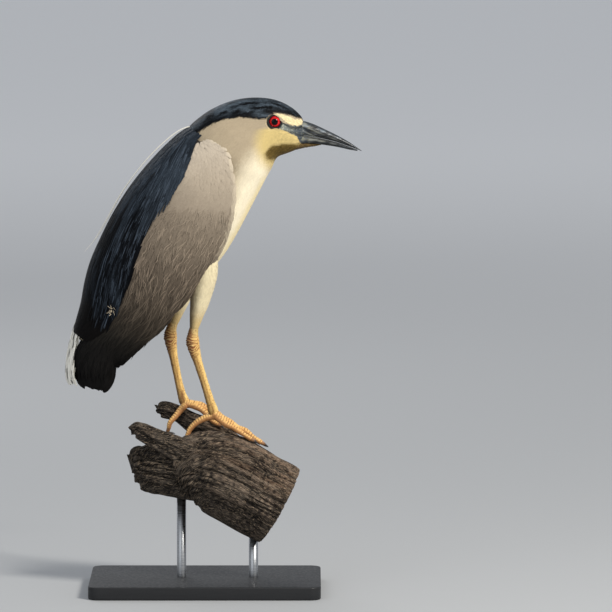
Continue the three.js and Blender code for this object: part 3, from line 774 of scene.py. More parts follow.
def body_colour(u, turn, points):
    """The colour of a place on the body, from its rib and turn and its place in space."""
    x, z = points[..., 0], marking_height(points)
    fall = (1 - np.cos(turn)) / 2
    wander = 1.2 * noise(points / 6.0, 3)
    cream_share = smooth(0.58, 0.9, fall + 0.02 * wander) * smooth(3.5, 7, u)
    yellow = smooth(0.93, 1.0, fall) * smooth(6, 8, u) * fade(11, 13, u)
    near_face = fade(26, 44, np.hypot(x - 92, z - 484))
    under_cheek = fade(-1.5, 2.5, z - line_height(CHEEK_EDGE, x) - wander)
    # painted shade: under the jaw the chin is darkened to olive, only partly its own tint
    chin = smooth(-1.5, 3.5, line_height(CHIN_EDGE, x) - z + wander) * smooth(61, 70, x) * smooth(462, 471, z)
    colour = coats(BUFF, (CREAM, cream_share), (BELLY, smooth(12, 14, u)),
                   (rgb(247, 226, 165), 0.8 * yellow), (FACE, near_face * under_cheek), (CHIN_IN_SHADE, 0.9 * chin))
    off_eye = np.hypot(x - EYE[0], points[..., 2] - EYE[1])
    to_rear = (0.95 * (EYE[0] - x) + 0.3 * (EYE[1] - points[..., 2])) / off_eye
    crescent = bell(off_eye, 9.9, 0.7) * smooth(0.5, 0.9, to_rear)
    above = z - line_height(CAP_EDGE, x) + 0.5 * wander
    streaks = 1.6 * layered(joined(1.6 * u, 10 * np.sin(turn), 10 * np.cos(turn)), 2, 21)
    # painted sheen: from its near-black rim the cap turns lighter slate towards the top, in streaks
    slate = smooth(1, 11, above + 3 * streaks) * (0.45 + 1.2 * streaks)
    colour = colour * (1 + 0.06 * streaks)[..., None]
    return coats(colour, (blend(CAP_RIM, CAP_SHEEN, np.clip(slate, 0, 1)), smooth(-1.0, 1.0, above)),
                 (rgb(226, 206, 156), 0.7 * crescent))


def face_colour(points):
    """The face on top of those: the bare lores, the stripe above them and the rings round the eyes."""
    x = points[..., 0]
    z = marking_height(points) + 0.9 * noise(points / 2.2, 33) + 0.5 * noise(points / 1.1, 34)
    stripe = (smooth(-0.7, 0.5, z - line_height(STRIPE_LOW, x)) * smooth(71, 78, x)
              * fade(-0.5, 0.7, z - line_height(STRIPE_TOP, x)))
    lores = (smooth(77, 83, x) * smooth(-1.2, 0.8, z - line_height(CHEEK_EDGE, x) - 1)
             * fade(-0.8, 0.4, z - line_height(STRIPE_LOW, x)))
    return stripe, lores


# %% [markdown]
# ## Limbs
# Legs, toes, claws and the chin are all round, bent and of changing thickness: rings carried along a
# smooth path. Making one function for them keeps every joint of the same kind, and a finer texture,
# such as scales, can be added as a small change of radius.
# %% A round limb


def limb_form(stations, texture=None):
    """Rings along a smooth path. Each station is x, y, z, radius and sideways share. texture(v, turn)
    adds millimetres to the radius; v counts stations and turn goes round from the left side."""
    stations = np.asarray(stations, float)

    def form(v, turn):
        v, turn = alike(v, turn)
        row = spline(stations, v)
        along = heading_at(stations, v)
        across = unit(np.array([0, 1.0, 0]) - along * along[..., 1:2])
        up = np.cross(along, across)
        radius = row[..., 3] + (texture(v, turn) if texture else 0)
        sideways = (radius * row[..., 4] * np.cos(turn))[..., None]
        return row[..., :3] + across * sideways + up * (radius * np.sin(turn))[..., None]

    return form


def grid_of(form, last, rings, sides):
    """A round form's two numbers on a grid, from its first station to its last and once round, and its
    points there."""
    v, turn = np.meshgrid(np.linspace(0, last, rings), once_round(sides), indexing="ij")
    return v, turn, form(v, turn)


# %% Welding pieces into one skin


def weld(main, *others):
    """Unites closed meshes into one with no inner walls. Points made along the joints have no colour
    yet, so they take the mean of their neighbours' until every one has it."""
    bpy.context.view_layer.objects.active = main
    for other in others:
        union = main.modifiers.new("union", "BOOLEAN")
        union.operation, union.solver, union.object = "UNION", "MANIFOLD", other
        bpy.ops.object.modifier_apply(modifier=union.name)
        bpy.data.objects.remove(other)
    mesh = main.data
    mesh.materials.clear()
    known = np.empty(len(mesh.vertices), np.float32)
    mesh.attributes["Known"].data.foreach_get("value", known)
    colour = np.empty((len(mesh.vertices), 4), np.float32)
    mesh.attributes["Tint"].data.foreach_get("color", colour.ravel())
    edges = np.empty((len(mesh.edges), 2), np.int32)
    mesh.edges.foreach_get("vertices", edges.ravel())
    colour, known = colour * known[:, None], known.copy()
    for _ in range(4):
        total, weight = np.zeros_like(colour), np.zeros_like(known)
        for a, b in (edges.T, edges.T[::-1]):
            np.add.at(total, a, colour[b] * known[b][:, None])
            np.add.at(weight, a, known[b])
        empty = (known < 0.5) & (weight > 0)
        colour[empty] = total[empty] / weight[empty][:, None]
        known[empty] = 1
    mesh.attributes["Tint"].data.foreach_set("color", colour.ravel())
    mesh.polygons.foreach_set("use_smooth", np.ones(len(mesh.polygons), bool))
    print(f"{main.name}: welded, {sum(len(p.vertices) - 2 for p in mesh.polygons)} triangles")
    return main


# %% [markdown]
# ## The skin
# Under the feathers one skin runs from the bill to the toes. It lies inside the outline by the depth
# of the plumage: thick on the breast, thin on the face, and nothing on the bare lores between eye and
# bill. Round each eye it sinks into a socket, and a ring of black lid rises at the socket's edge. A
# sculptor would push clay about; here each of these is a few millimetres added to or taken from the
# form, as a function of the distance from the eye.
# %% Depth of the coat, and the eyes' sockets


def coat_depth(u, points):
    """How far the skin lies under the outline, growing from face to breast, and 0 on the lores. At the
    bill's root the skin dips under the horn."""
    _, lores = face_colour(points)
    return (0.5 + 1.9 * smooth(2.5, 10, u)) * (1 - 0.8 * lores) + 1.5 * fade(0, 0.3, u)


def sink_sockets(points):
    """Moves places round the eyes towards the middle plane: a hollow that reaches 12 mm from the eye's
    middle, with a pit for the eyeball inside it and a lid round the pit."""
    off = np.hypot(points[..., 0] - EYE[0], (points[..., 2] - EYE[1]) * 1.06)
    hollow = 1.1 * fade(6.0, 12, off) + 4.5 * fade(4.6, 6.2, off)
    lid = 0.75 * bell(off, 7.0, 0.75)
    creases = 0.25 * bell(off, LID_REACH, 0.5)
    moved = points.copy()
    moved[..., 1] -= np.sign(points[..., 1]) * (hollow - lid + creases)
    return moved


# %% The body's skin
SKIN_SIDES = 168
FACE_RIBS = 5.4  # up to this rib the rings lie close together
skin_u = np.concatenate([np.linspace(0, FACE_RIBS, 150), np.linspace(FACE_RIBS, RUMP_RIB, 100)[1:]])
skin_turn = np.linspace(-math.pi, math.pi, SKIN_SIDES, endpoint=False)
skin_u, skin_turn = np.meshgrid(skin_u, skin_turn, indexing="ij")
outline = body_form(skin_u, skin_turn)
outline_x, outline_z = outline[..., 0], outline[..., 2]
stripe, lores = face_colour(outline)
pits = lores * (0.18 * noise(outline / 1.1, 5) + 0.25 * noise(outline / 2.6, 6))
pits = pits + lores * 0.3 * np.sin(outline_z * 1.9 + 0.35 * outline_x)
hollow_lores = 0.9 * lores * bell(outline_x, 93, 8)
skin_points = body_form(skin_u, skin_turn, deeper=coat_depth(skin_u, outline) + hollow_lores - pits)
skin_points = sink_sockets(skin_points)
print("skin:", skin_u.shape, "rings and sides")

# %% The skin's colours
HORN_BLACK = rgb(11, 12, 14)
HORN_SLATE = rgb(66, 74, 82)


def gape_height(x):
    """The height of the line where the halves of the bill meet, which runs on under the eye."""
    return np.interp(x, [84, 90.5, 98.6, 107], [500.4, 498.6, 495.6, 493.8])


eye_off = np.hypot(outline_x - EYE[0], outline_z - EYE[1])
speckle = smooth(0.15, 0.5, noise(outline / 0.9, 8) + 0.4 * noise(outline / 0.45, 9))
under_stripe = line_height(STRIPE_LOW, outline_x) - outline_z
lores_tint = coats(LORES, (HORN_SLATE, smooth(82, 103, outline_x)),
                   (rgb(206, 204, 176), speckle * (0.6 - 0.35 * smooth(92, 102, outline_x))),
                   (HORN_BLACK, 0.9 * bell(under_stripe, 1.6, 1.2)),
                   (HORN_BLACK, 0.85 * bell(outline_z, gape_height(outline_x), 0.75)))
skin_tint = coats(body_colour(skin_u, skin_turn, outline), (lores_tint, lores), (STRIPE, stripe),
                  (rgb(10, 11, 13), fade(8.4, LID_REACH, eye_off)))
skin = add_piece("heron_skin", skin_points, tube_faces(*skin_u.shape), tint=skin_tint,
                 marks={"Known": np.ones(skin_u.shape)})

# %% [markdown]
# ## Chin
# A wedge of feathering runs forward under the lower mandible, almost to the middle of the bill.
# %% Skin of the chin
CHIN_LINE = [[86, 0, 482, 5.4, 2.0], [92, 0, 481.6, 4.4, 2.0], [106, 0, 483.4, 3.0, 1.75],
             [118, 0, 483.9, 1.7, 1.5], [125.5, 0, 484.0, 0.6, 1]]
CHIN_GRID = 60, 48  # rings and sides
chin_form = limb_form(CHIN_LINE)
chin_v, _, chin_points = grid_of(chin_form, 4, *CHIN_GRID)
# tinted with the chin's olive and its painted shade
chin = add_piece("chin", chin_points, tube_faces(*CHIN_GRID),
                 tint=np.broadcast_to(CHIN_IN_SHADE, chin_points.shape), marks={"Known": np.ones(chin_v.shape)})

# %% [markdown]
# ## Legs
# A heron walks on its toes. What looks like a knee that bends backwards is its ankle, a knob of
# wrinkled skin, and the long bone below it, the tarsus, is bare and covered with small scales. On
# top of the toes the scales join into short plates that lie across. These plates are modelled, as
# steps in the radius that repeat along the toe, because the light catches their edges.
# %% Sizes and colours of the legs
LEGS = {
    "right": {
        "thigh": [[-6, 388, 15], [0, 352, 14.5], [-4.6, 320, 11], [-8.6, 302, 7.6], [-11, 290, 5.2]],
        "tarsus": [[-11.2, 289, 4.6], [-12.6, 281, 5.6], [-13.0, 273, 7.0], [-11.2, 263, 6.2],
                   [-7.5, 250, 4.7], [0.5, 224, 4.2], [5.6, 207, 4.7], [8.4, 197.6, 5.6], [9.0, 192.6, 4.6]],
        "joint": (9.4, 193.5), "spread": {"hip": 26, "ankle": 21, "foot": 13},
    },
    "left": {
        "thigh": [[-24, 380, 15], [-19, 345, 14], [-26, 316, 10], [-30.6, 301, 7.2], [-33.6, 291, 5.2]],
        "tarsus": [[-34.2, 290, 4.6], [-36.9, 282, 5.7], [-38.0, 274.5, 7.0], [-37.0, 264, 6.0],
                   [-34.6, 251, 4.6], [-29.6, 226, 4.1], [-26.0, 211, 4.7], [-23.6, 204.0, 5.6],
                   [-22.6, 199.4, 4.6]],
        "joint": (-22.0, 200.4), "spread": {"hip": 26, "ankle": 23, "foot": 19},
    },
}
TOES = {"inner": (-20, 38, 4.1), "middle": (-5, 51, 4.8), "outer": (10, 41, 4.1)}
HIND_TOES = {
    "right": [[9, -13, 191], [0, -12, 188.5], [-9, -11, 183.5], [-16, -10, 176.5], [-19.6, -9.5, 168.5]],
    "left": [[-22, 18, 199], [-26.5, 11.5, 195], [-32, 7.5, 188.5], [-38, 6, 181.5], [-39.6, 7, 175.5]],
}
TOE_STATIONS = 7
LEG_SKIN = rgb(226, 184, 108)
LEG_PALE = rgb(248, 212, 134)
# the next colour is the dark brown of painted shade behind the legs
LEG_SHADE = rgb(84, 52, 28)
ANKLE_RED = rgb(140, 66, 38)
TOE_SKIN = rgb(230, 172, 106)
THIGH_END = rgb(210, 182, 122)


# %% Stations of legs and toes, from the frame


def leg_stations(side, which, start, end):
    """A leg's stations with their sideways places, evenly spread from start to end."""
    rows = np.array(LEGS[side][which], float)
    y = SIDES[side] * np.linspace(start, end, len(rows))
    share = np.full(len(rows), 0.9 if which == "thigh" else 0.82)
    return np.column_stack([rows[:, 0], y, rows[:, 1], rows[:, 2], share])


def corners_of(node):
    """The corners of a node's mesh in millimetres."""
    mesh = nodes[node].data
    corners = np.empty((len(mesh.vertices), 3), np.float32)
    mesh.vertices.foreach_get("co", corners.ravel())
    return corners / MM


def toe_stations(side, kind):
    """A toe's stations. Its way over the ground is a straight line at a heading, and its height is read
    off the frame: the middle of its node's corners near each station."""
    heading, length, radius = TOES[kind]
    turn = math.radians(heading) * SIDES[side]
    joint_x, joint_z = LEGS[side]["joint"]
    joint_y = SIDES[side] * LEGS[side]["spread"]["foot"]
    corners = corners_of(f"toe_{side}_{kind}")
    reach = (corners[:, 0] - joint_x) * math.cos(turn) + (corners[:, 1] - joint_y) * math.sin(turn)
    rows = []
    for i in range(TOE_STATIONS):
        share = i / (TOE_STATIONS - 1)
        out = length * i / (TOE_STATIONS - 1)
        near = corners[np.abs(reach - out) < 3.4]
        z = (near[:, 2].min() + near[:, 2].max()) / 2 if len(near) > 5 else joint_z
        thick = radius * (1 - 0.44 * i / 6) * (1 + 0.1 * math.cos(math.pi * i))  # knuckles
        z = joint_z * fade(0, 0.25, share) + z * smooth(0, 0.25, share)
        rows.append([joint_x + math.cos(turn) * out, joint_y + math.sin(turn) * out, z, thick, 1.08])
    return np.array(rows, float)


def hind_stations(side):
    """The stations of the first toe, which points back."""
    places = np.array(HIND_TOES[side], float)
    count = len(places)
    return np.column_stack([places, 3.9 - 0.42 * np.arange(count), np.full(count, 1.08)])


print("end of the right middle toe:", toe_stations("right", "middle")[-1, :3].round(1))

# %% Plates, folds and a furrow
PLATE_LENGTH = 2.5


def plates(between, depth, upper):
    """A texture of plates on the upper side of a toe, with fine scales below. Each plate is a step that
    rises slowly and falls at once, once in a plate's length; between is the way from one station to
    the next, and upper is 1 where the ring's first quarter is the top and -1 where it is the
    bottom."""
    def texture(v, turn):
        run = v * between / PLATE_LENGTH
        step = run - np.floor(run)
        top = smooth(-0.2, 0.5, np.sin(turn) * upper)
        scales = np.sin(run * 9) * np.sin(turn * 9)
        return depth * (top * (step - smooth(0.8, 1.0, step)) + 0.25 * (1 - top) * scales)
    return texture


def ankle_folds(v, turn):
    """Folds of skin across the ankle, from -1 to 1, deep behind and shallow in front. They run
    aslant and break off."""
    places = joined(v * 2.2, np.cos(turn) * 1.6, np.sin(turn) * 1.6)
    folds = np.sin(v * 22 + 2.2 * np.sin(turn) + 1.5 * np.cos(turn) + 6.0 * noise(places, 14))
    behind = smooth(-0.5, 0.7, -np.sin(turn))
    uneven = 0.75 + 0.5 * noise(places * 2.5, 15)
    return folds * bell(v, 2.2, 1.25) * (0.4 + 0.6 * behind) * uneven


def furrow(v, turn):
    """A furrow down each side of the tarsus: 1 in its middle, where the sine of the turn is 0."""
    return bell(np.sin(turn), 0, 0.22) * smooth(2.8, 4, v)


def ankle_texture(v, turn):
    """Folds at the ankle, and small scales over the rest of the tarsus with a furrow down its side."""
    points = joined(v * 7.5, np.cos(turn) * 2.6, np.sin(turn) * 2.6)
    return 0.7 * ankle_folds(v, turn) + 0.2 * noise(points * 0.9, 4) - 0.4 * furrow(v, turn)


# %% Colours of legs and toes


def leg_tint(v, turn, points):
    """Ochre skin, cream at the top, with red-brown folds at the ankle and long stains down the tarsus.
    Painted light makes the front paler and painted shade the back dark brown. Painted shade darkens
    the creases of the folds and the furrow, and painted highlights light the ridges of the folds."""
    behind = smooth(-0.25, 0.95, -np.sin(turn))
    front = smooth(0.1, 0.9, np.sin(turn))
    stains = layered(joined(points[..., 0] / 3, points[..., 1] / 3, points[..., 2] / 20), 3, 12)
    folds = ankle_folds(v, turn)
    at_ankle = bell(v, 2.3, 1.3) * (0.25 + 0.75 * behind)
    dots = smooth(0.25, 0.55, noise(points / 1.2, 16))
    return coats(LEG_SKIN, (LEG_PALE, np.clip(0.6 * front + 0.5 * stains, 0, 0.85)),
                 (THIGH_END, fade(0.3, 2.0, v)),
                 (rgb(132, 88, 46), 0.8 * smooth(0.05, 0.45, -stains) * (1 - 0.6 * front)),
                 (rgb(206, 140, 84), 0.6 * at_ankle), (ANKLE_RED, 0.95 * smooth(0.02, 0.3, -folds)),
                 (rgb(250, 216, 152), 0.8 * smooth(0.2, 0.6, folds)),
                 (rgb(122, 76, 40), 0.5 * furrow(v, turn)), (rgb(150, 98, 50), 0.6 * dots),
                 (LEG_SHADE, 0.8 * behind))


def toe_tint(between, upper):
    """A colouring for a toe: plates paler on top as painted light, red-brown creases between them darkened
    as painted shade, and a sole darkened as painted shade. between and upper are as for the plates."""
    def tint(v, turn, points):
        step = v * between / PLATE_LENGTH
        crease = smooth(0.6, 0.9, step - np.floor(step)) * smooth(-0.7, 0.0, noise(points / 3.0, 17))
        top = smooth(-0.2, 0.5, np.sin(turn) * upper)
        stain = smooth(0.0, 0.6, layered(points / 5.0, 3, 12))
        return coats(TOE_SKIN, (LEG_PALE, 0.45 * top), (rgb(200, 130, 72), 0.5 * stain),
                     (rgb(112, 56, 30), 0.9 * crease * top), (rgb(150, 96, 62), 0.6 * (1 - top)))
    return tint


# %% Chin, legs and toes as limbs


def make_limb(name, form, last, rings, sides, tint):
    """A limb of the skin, still a piece of its own. tint(v, turn, points) gives its colour."""
    v, turn, points = grid_of(form, last, rings, sides)
    return add_piece(name, points, tube_faces(rings, sides), tint=tint(v, turn, points),
                     marks={"Known": np.ones(v.shape)})


def on_each_toe(part):
    """The names of the eight nodes that are a part of a toe."""
    return [f"{part}_{side}_{kind}" for side in SIDES for kind in ("middle", "hind", "inner", "outer")]


HIND_BETWEEN = 9.0  # about the way from one station of a hind toe to the next
limbs = [chin]
thigh_forms = {}
for side in SIDES:
    spread = LEGS[side]["spread"]
    thigh_forms[side] = limb_form(leg_stations(side, "thigh", spread["hip"], spread["ankle"]))
    inner = leg_stations(side, "thigh", spread["hip"], spread["ankle"])
    inner[:, 3] -= [2.2, 2.2, 1.8, 1.2, 0.8]
    limbs.append(make_limb(f"thigh_{side}_skin", limb_form(inner), last=4, rings=40, sides=40,
                           tint=lambda v, turn, points: np.broadcast_to(BELLY, points.shape)))
    tarsus = leg_stations(side, "tarsus", spread["ankle"], spread["foot"])
    limbs.append(make_limb(f"tarsus_{side}_skin", limb_form(tarsus, ankle_texture), last=8, rings=240,
                           sides=48, tint=leg_tint))
    for kind, (_, length, _) in TOES.items():
        between = length / (TOE_STATIONS - 1)
        limbs.append(make_limb(f"toe_{side}_{kind}_skin",
                               limb_form(toe_stations(side, kind), plates(between, 0.5, 1)),
                               last=TOE_STATIONS - 1, rings=130, sides=32, tint=toe_tint(between, 1)))
    limbs.append(make_limb(f"toe_{side}_hind_skin",
                           limb_form(hind_stations(side), plates(HIND_BETWEEN, 0.45, -1)),
                           last=4, rings=100, sides=32, tint=toe_tint(HIND_BETWEEN, -1)))

# %% Feather bed under the folded wings and the back
bed_u, bed_q = np.meshgrid(np.linspace(6.4, 17.0, 50), np.linspace(-1, 1, 64), indexing="ij")
bed_turn = bed_q * (front_turn(bed_u) - 0.14)


def bed_sheet(deeper):
    """The winged form, deeper by some millimetres, from one wing's front edge to the other's."""
    rounded = 3.5 * smooth(0.86, 1.0, np.abs(bed_q)) ** 2
    return body_form(bed_u, bed_turn, winged=True, deeper=deeper + rounded)


bed_rings = np.concatenate([bed_sheet(2.6), bed_sheet(6.5)[:, ::-1]], axis=1)
# grey under the shoulders and near black under the black back; dark too under the wing tips, beneath their
# painted shade
shoulder = 1 - smooth(7.5, 8.5, bed_u) + 0.8 * smooth(0.0, 0.1, np.abs(bed_turn) - back_turn(bed_u))
bed_tint = blend(rgb(24, 26, 30), rgb(150, 138, 120), np.clip(shoulder, 0, 1) * fade(12, 15, bed_u))
bed_tint = np.concatenate([bed_tint, bed_tint[:, ::-1]], axis=1)
bed = add_piece("wing_bed", bed_rings, tube_faces(*bed_rings.shape[:2]), tint=bed_tint,
                marks={"Known": np.ones(bed_rings.shape[:2])})

# %% One skin
skin = weld(skin, bed, *limbs)
skin_finish = Finish("skin", Roughness=0.5, Specular_IOR_Level=0.3)
skin_place = skin_finish.place()
fine_scales = skin_finish.cell_edges(skin_place, 900.0)
dirt = skin_finish.grain(skin_place, 700.0, 4.0)
skin_tinted = skin_finish.mix(dirt.ramp(0.45, 0.75, 0.0, 0.22), skin_finish.mark("Tint", "Color"),
                              rgb(96, 70, 44), "MULTIPLY")
skin_material = skin_finish.wear(
    Base_Color=skin_tinted,
    Normal=skin_finish.bump(fine_scales.ramp(0.0, 0.25) + dirt * 0.4, 0.0002, 0.7),
    Roughness=dirt.ramp(0.3, 0.8, 0.42, 0.62))
hand_over(skin, "leg_skin", skin_material, "head", "neck", "trunk", *(f"thigh_{side}" for side in SIDES),
          *(f"tarsus_{side}" for side in SIDES), *on_each_toe("toe"))

# %% [markdown]
# ## Eyes
# A night heron's eye is large and deep red. The eyeball is one closed ball whose front bulges a
# little where the clear cornea lies over the iris. Its colour depends only on the angle from the
# eye's axis: pupil, red iris with fine rays, and a dark rim under the lids. A clear coat gives the wet
# gloss.
# %% Eyeballs
PUPIL_RADIUS = 3.4
IRIS_RADIUS = 6.1
EYE_RINGS, EYE_SIDES = 72, 64
POLE = 0.02  # how near the rings come to the ball's two poles, in radians
eye_finish = Finish("wet_eye", Roughness=0.3, Coat_Weight=0.35, Coat_Roughness=0.02, Specular_IOR_Level=0.0)
eye_material = eye_finish.wear(Base_Color=eye_finish.mark("Tint", "Color"))
for side_name, side in SIDES.items():
    away, around = np.meshgrid(np.linspace(POLE, math.pi - POLE, EYE_RINGS), once_round(EYE_SIDES),
                               indexing="ij")
    bulge = EYE_RADIUS + 0.5 * fade(0.15, 0.95, away)
    flat_radius = EYE_RADIUS * np.sin(away)
    eye_points = np.stack([EYE[0] + bulge * np.sin(away) * np.cos(around),
                           side * (EYE_OUT + bulge * np.cos(away)),
                           EYE[1] + bulge * np.sin(away) * np.sin(around)], -1)
    rays = noise(joined(np.cos(around) * 7, np.sin(around) * 7, flat_radius * 0.5), 31)
    iris = coats(rgb(214, 22, 34), (rgb(120, 4, 12), np.clip(0.5 + 0.7 * rays, 0, 1)),
                 (rgb(232, 60, 48), 0.5 * bell(flat_radius, 4.1, 0.5)),
                 (rgb(40, 2, 6), smooth(IRIS_RADIUS - 0.8, IRIS_RADIUS, flat_radius)))
    eye_tint = blend(rgb(4, 4, 5), iris, smooth(PUPIL_RADIUS - 0.15, PUPIL_RADIUS + 0.15, flat_radius))
    eye_tint = np.where((away > math.pi / 2)[..., None], rgb(30, 10, 10), eye_tint)
    eye = add_piece(f"eyeball_{side_name}", eye_points, tube_faces(EYE_RINGS, EYE_SIDES), tint=eye_tint)
    hand_over(eye, "eye", eye_material, f"eye_{side_name}")

# %% [markdown]
# ## Bill
# The bill is a dagger of two halves that meet in a sharp edge. Each half is a row of sections from the
# face to the tip, domed above and flat below for the upper one, and the other way for the lower. A
# groove with the slit of the nostril runs along the upper half, and the horn has fine lengthwise
# grain.
# %% Sizes and sections of the bill
UPPER_BILL = [[96, 508.5, 495.2, 8.2], [104, 509.6, 494.2, 8.4], [110, 508.4, 493.4, 7.7],
              [118.8, 505.2, 492.0, 6.6], [130, 500, 489.6, 5.5], [142.6, 493.8, 486.4, 4.2],
              [155.3, 486.6, 482.0, 2.6], [163, 481.4, 479.2, 1.3], [168.8, 477.3, 476.7, 0.4]]
LOWER_BILL = [[96, 495.0, 484.2, 8.0], [104, 493.9, 484.3, 8.0], [110, 493.0, 484.6, 7.2],
              [118.8, 491.6, 484.6, 6.1], [130, 489.2, 483.2, 5.0], [142.6, 486.0, 481.2, 3.7],
              [155.3, 481.6, 478.4, 2.2], [164.4, 478.2, 476.9, 0.8]]
HORN_BLUE = rgb(128, 141, 152)
HORN_PALE = rgb(168, 168, 156)
NOSTRIL_X = 109.5
BILL_RINGS, BILL_SIDES = 150, 72


def bill_half(stations, domed):
    """The x, y and z of half a bill, and heights from -1 to 1 in each section. A station is x, upper
    edge, lower edge and half width. The section is sin(turn)^p high: p is 1.15 on the domed side and
    0.45 on the flat side."""
    station, turn = np.meshgrid(np.linspace(0, len(stations) - 1, BILL_RINGS), once_round(BILL_SIDES),
                                indexing="ij")
    x, top, low, half = np.moveaxis(spline(np.array(stations, float), station), -1, 0)
    rise, side = np.sin(turn), np.cos(turn)
    flat = rise < 0 if domed else rise > 0
    height = np.sign(rise) * np.abs(rise) ** np.where(flat, 0.45, 1.15)
    width = np.sign(side) * np.abs(side) ** 0.8
    return x, half * width, (top + low) / 2 + height * (top - low) / 2, height


# %% Horn
horn_finish = Finish("horn", Roughness=0.38, Coat_Weight=0.12, Coat_Roughness=0.15, Specular_IOR_Level=0.3)
horn_grain = horn_finish.grain(horn_finish.stretch(horn_finish.place(), (120, 900, 900)), 1.0, 4.0)
horn_material = horn_finish.wear(
    Base_Color=horn_finish.mix(horn_grain.ramp(0.4, 0.75, 0.0, 0.22), horn_finish.mark("Tint", "Color"),
                               rgb(120, 130, 140)),
    Normal=horn_finish.bump(horn_grain, 0.0004, 0.9),
    Roughness=horn_grain.ramp(0.3, 0.8, 0.3, 0.5))
print("horn finish ready")

# %% The two halves of the bill
for name, stations, domed in (("bill_upper_horn", UPPER_BILL, True), ("bill_lower_horn", LOWER_BILL, False)):
    x, y, z, height = bill_half(stations, domed)
    place = joined(x, y, z)
    far = smooth(100, 168, x)
    rough = 0.22 * layered(joined(x / 9, y / 1.6, z / 1.6), 3, 21) * (1 - far)
    if domed:
        groove_z = 501.6 - 0.43 * (x - 107)  # the groove falls towards the tip
        in_groove = bell(z, groove_z, 1.1) * fade(118, 134, x)
        slit = np.exp(-(((x - NOSTRIL_X) / 4.2) ** 4) - ((z - groove_z + 0.2) / 0.6) ** 2)
        y = y - np.sign(y) * (0.7 * in_groove + 1.3 * slit) + np.sign(y) * rough
        # painted sheen and highlights: a blue-grey band along the upper flank, and pale lines along the
        # ridges above and below the groove
        sheen = bell(height, 0.5, 0.24) * smooth(-0.5, 0.5, noise(place / [9, 1.5, 1.5], 25))
        ridge = bell(z - groove_z, 2.4, 0.5) * fade(128, 150, x)
        below = bell(z - groove_z + 3.2 + 0.06 * (x - 107), 0, 0.7) * fade(128, 146, x)
        tint = coats(HORN_BLACK, (HORN_BLUE, 0.9 * sheen * (1 - 0.75 * far)), (HORN_PALE, 0.45 * ridge),
                     (HORN_PALE, 0.55 * below), (rgb(8, 8, 9), np.clip(0.5 * in_groove + slit, 0, 1)))
    else:
        y = y + np.sign(y) * rough
        pale = bell(height, 0.2, 0.3) * fade(122, 150, x)
        pale = pale * smooth(-0.5, 0.4, noise(place / [6.0, 2.0, 2.0], 24))
        tint = blend(HORN_BLACK, HORN_PALE, 0.7 * pale)
    specks = smooth(0.0, 0.6, noise(place / [3.4, 1.9, 1.9], 23)) * fade(104, 118, x)
    cutting_edge = bell(height, -0.92 if domed else 0.92, 0.1)
    tint = coats(tint, (HORN_SLATE, 0.7 * fade(104, 114, x)), (rgb(168, 164, 136), 0.45 * specks),
                 (HORN_PALE, 0.6 * cutting_edge * (1 - far)))
    horn = add_piece(name, joined(x, y, z), tube_faces(*x.shape), tint=tint)
    hand_over(horn, "bill_horn", horn_material, name[:-5])

# %% [markdown]
# ## Claws
# A claw is a horn sheath that curves down to a point, deeper than it is wide, with a keel on top.
# %% Claws
CLAW_GRID = 30, 20  # rings and sides
claw_pieces, claw_tints = [], []
for side in SIDES:
    for kind in ("inner", "middle", "outer", "hind"):
        corners = corners_of(f"claw_{side}_{kind}")
        toe = hind_stations(side) if kind == "hind" else toe_stations(side, kind)
        root = toe[-1, :3]
        far = corners[np.argmax(np.linalg.norm(corners - root, axis=1))]
        ahead = unit(toe[-1, :3] - toe[-2, :3])
        length = np.linalg.norm(far - root)
        elbow = root + ahead * length * 0.55 + np.array([0, 0, 0.4])
        path = np.array([root - ahead * 1.5, root + ahead * length * 0.25 + [0, 0, 0.5], elbow,
                         elbow * 0.45 + far * 0.55, far])
        claw_line = np.column_stack([path, [2.2, 2.1, 1.6, 1.0, 0.25], [0.75, 0.75, 0.7, 0.7, 0.7]])
        v, turn, points = grid_of(limb_form(claw_line), len(path) - 1, *CLAW_GRID)
        claw_pieces.append(points.reshape(-1, 3))
        claw_tints.append(blend(rgb(158, 112, 70), rgb(40, 32, 28), smooth(0.8, 2.4, v)).reshape(-1, 3))
claws = add_piece("claws", np.concatenate(claw_pieces), tube_faces(*CLAW_GRID, len(claw_pieces)),
                  tint=np.concatenate(claw_tints))
hand_over(claws, "claw_horn", horn_material, *on_each_toe("claw"))

# %% [markdown]
# ## Feather finishes
# Small pale feathers scatter light softly, with a faint sheen at the edge. The dark feathers of the cap
# and back are glossy, and fine barbs draw their gloss out into streaks. The barbs leave the shaft at
# an angle, so the pattern is drawn on the map of the blade, along lines that slant away from the
# middle.
# %% How a feather's barbs look
BARB_SLANT = 1.4
BARBS_PER_METRE = 2600  # along the shaft
BARB_CHANGE = 160  # along a barb, where the grain changes slowly
FEATHER_SHIFT = 91  # from one feather's pattern to the next one's


def feather_finish(name, roughness, streaks, depth, hue, **constants):
    """Barbs as grain drawn out along slanting lines: v + slant |u| is the same all along a barb."""
    finish = Finish(name, **constants)
    blade = finish.map("Blade")
    split = finish.node("ShaderNodeSeparateXYZ", None, {0: blade})
    across = split.maths("ABSOLUTE", split)
    along = Flow(finish, split.socket.node.outputs[1])
    lines = finish.node("ShaderNodeCombineXYZ", None, {0: (along + across * BARB_SLANT) * BARBS_PER_METRE,
                                                       1: across * BARB_CHANGE,
                                                       2: finish.mark("Feather") * FEATHER_SHIFT})
    barbs = finish.grain(lines, 1.0, 2.0)
    tint = finish.mark("Tint", "Color")
    shade = finish.mix(barbs.ramp(0.3, 0.75, 0.0, streaks), tint, hue, "MULTIPLY")
    return finish.wear(Base_Color=shade, Normal=finish.bump(barbs, depth, 0.6),
                       Roughness=barbs.ramp(0.3, 0.7, roughness - 0.06, roughness + 0.08))


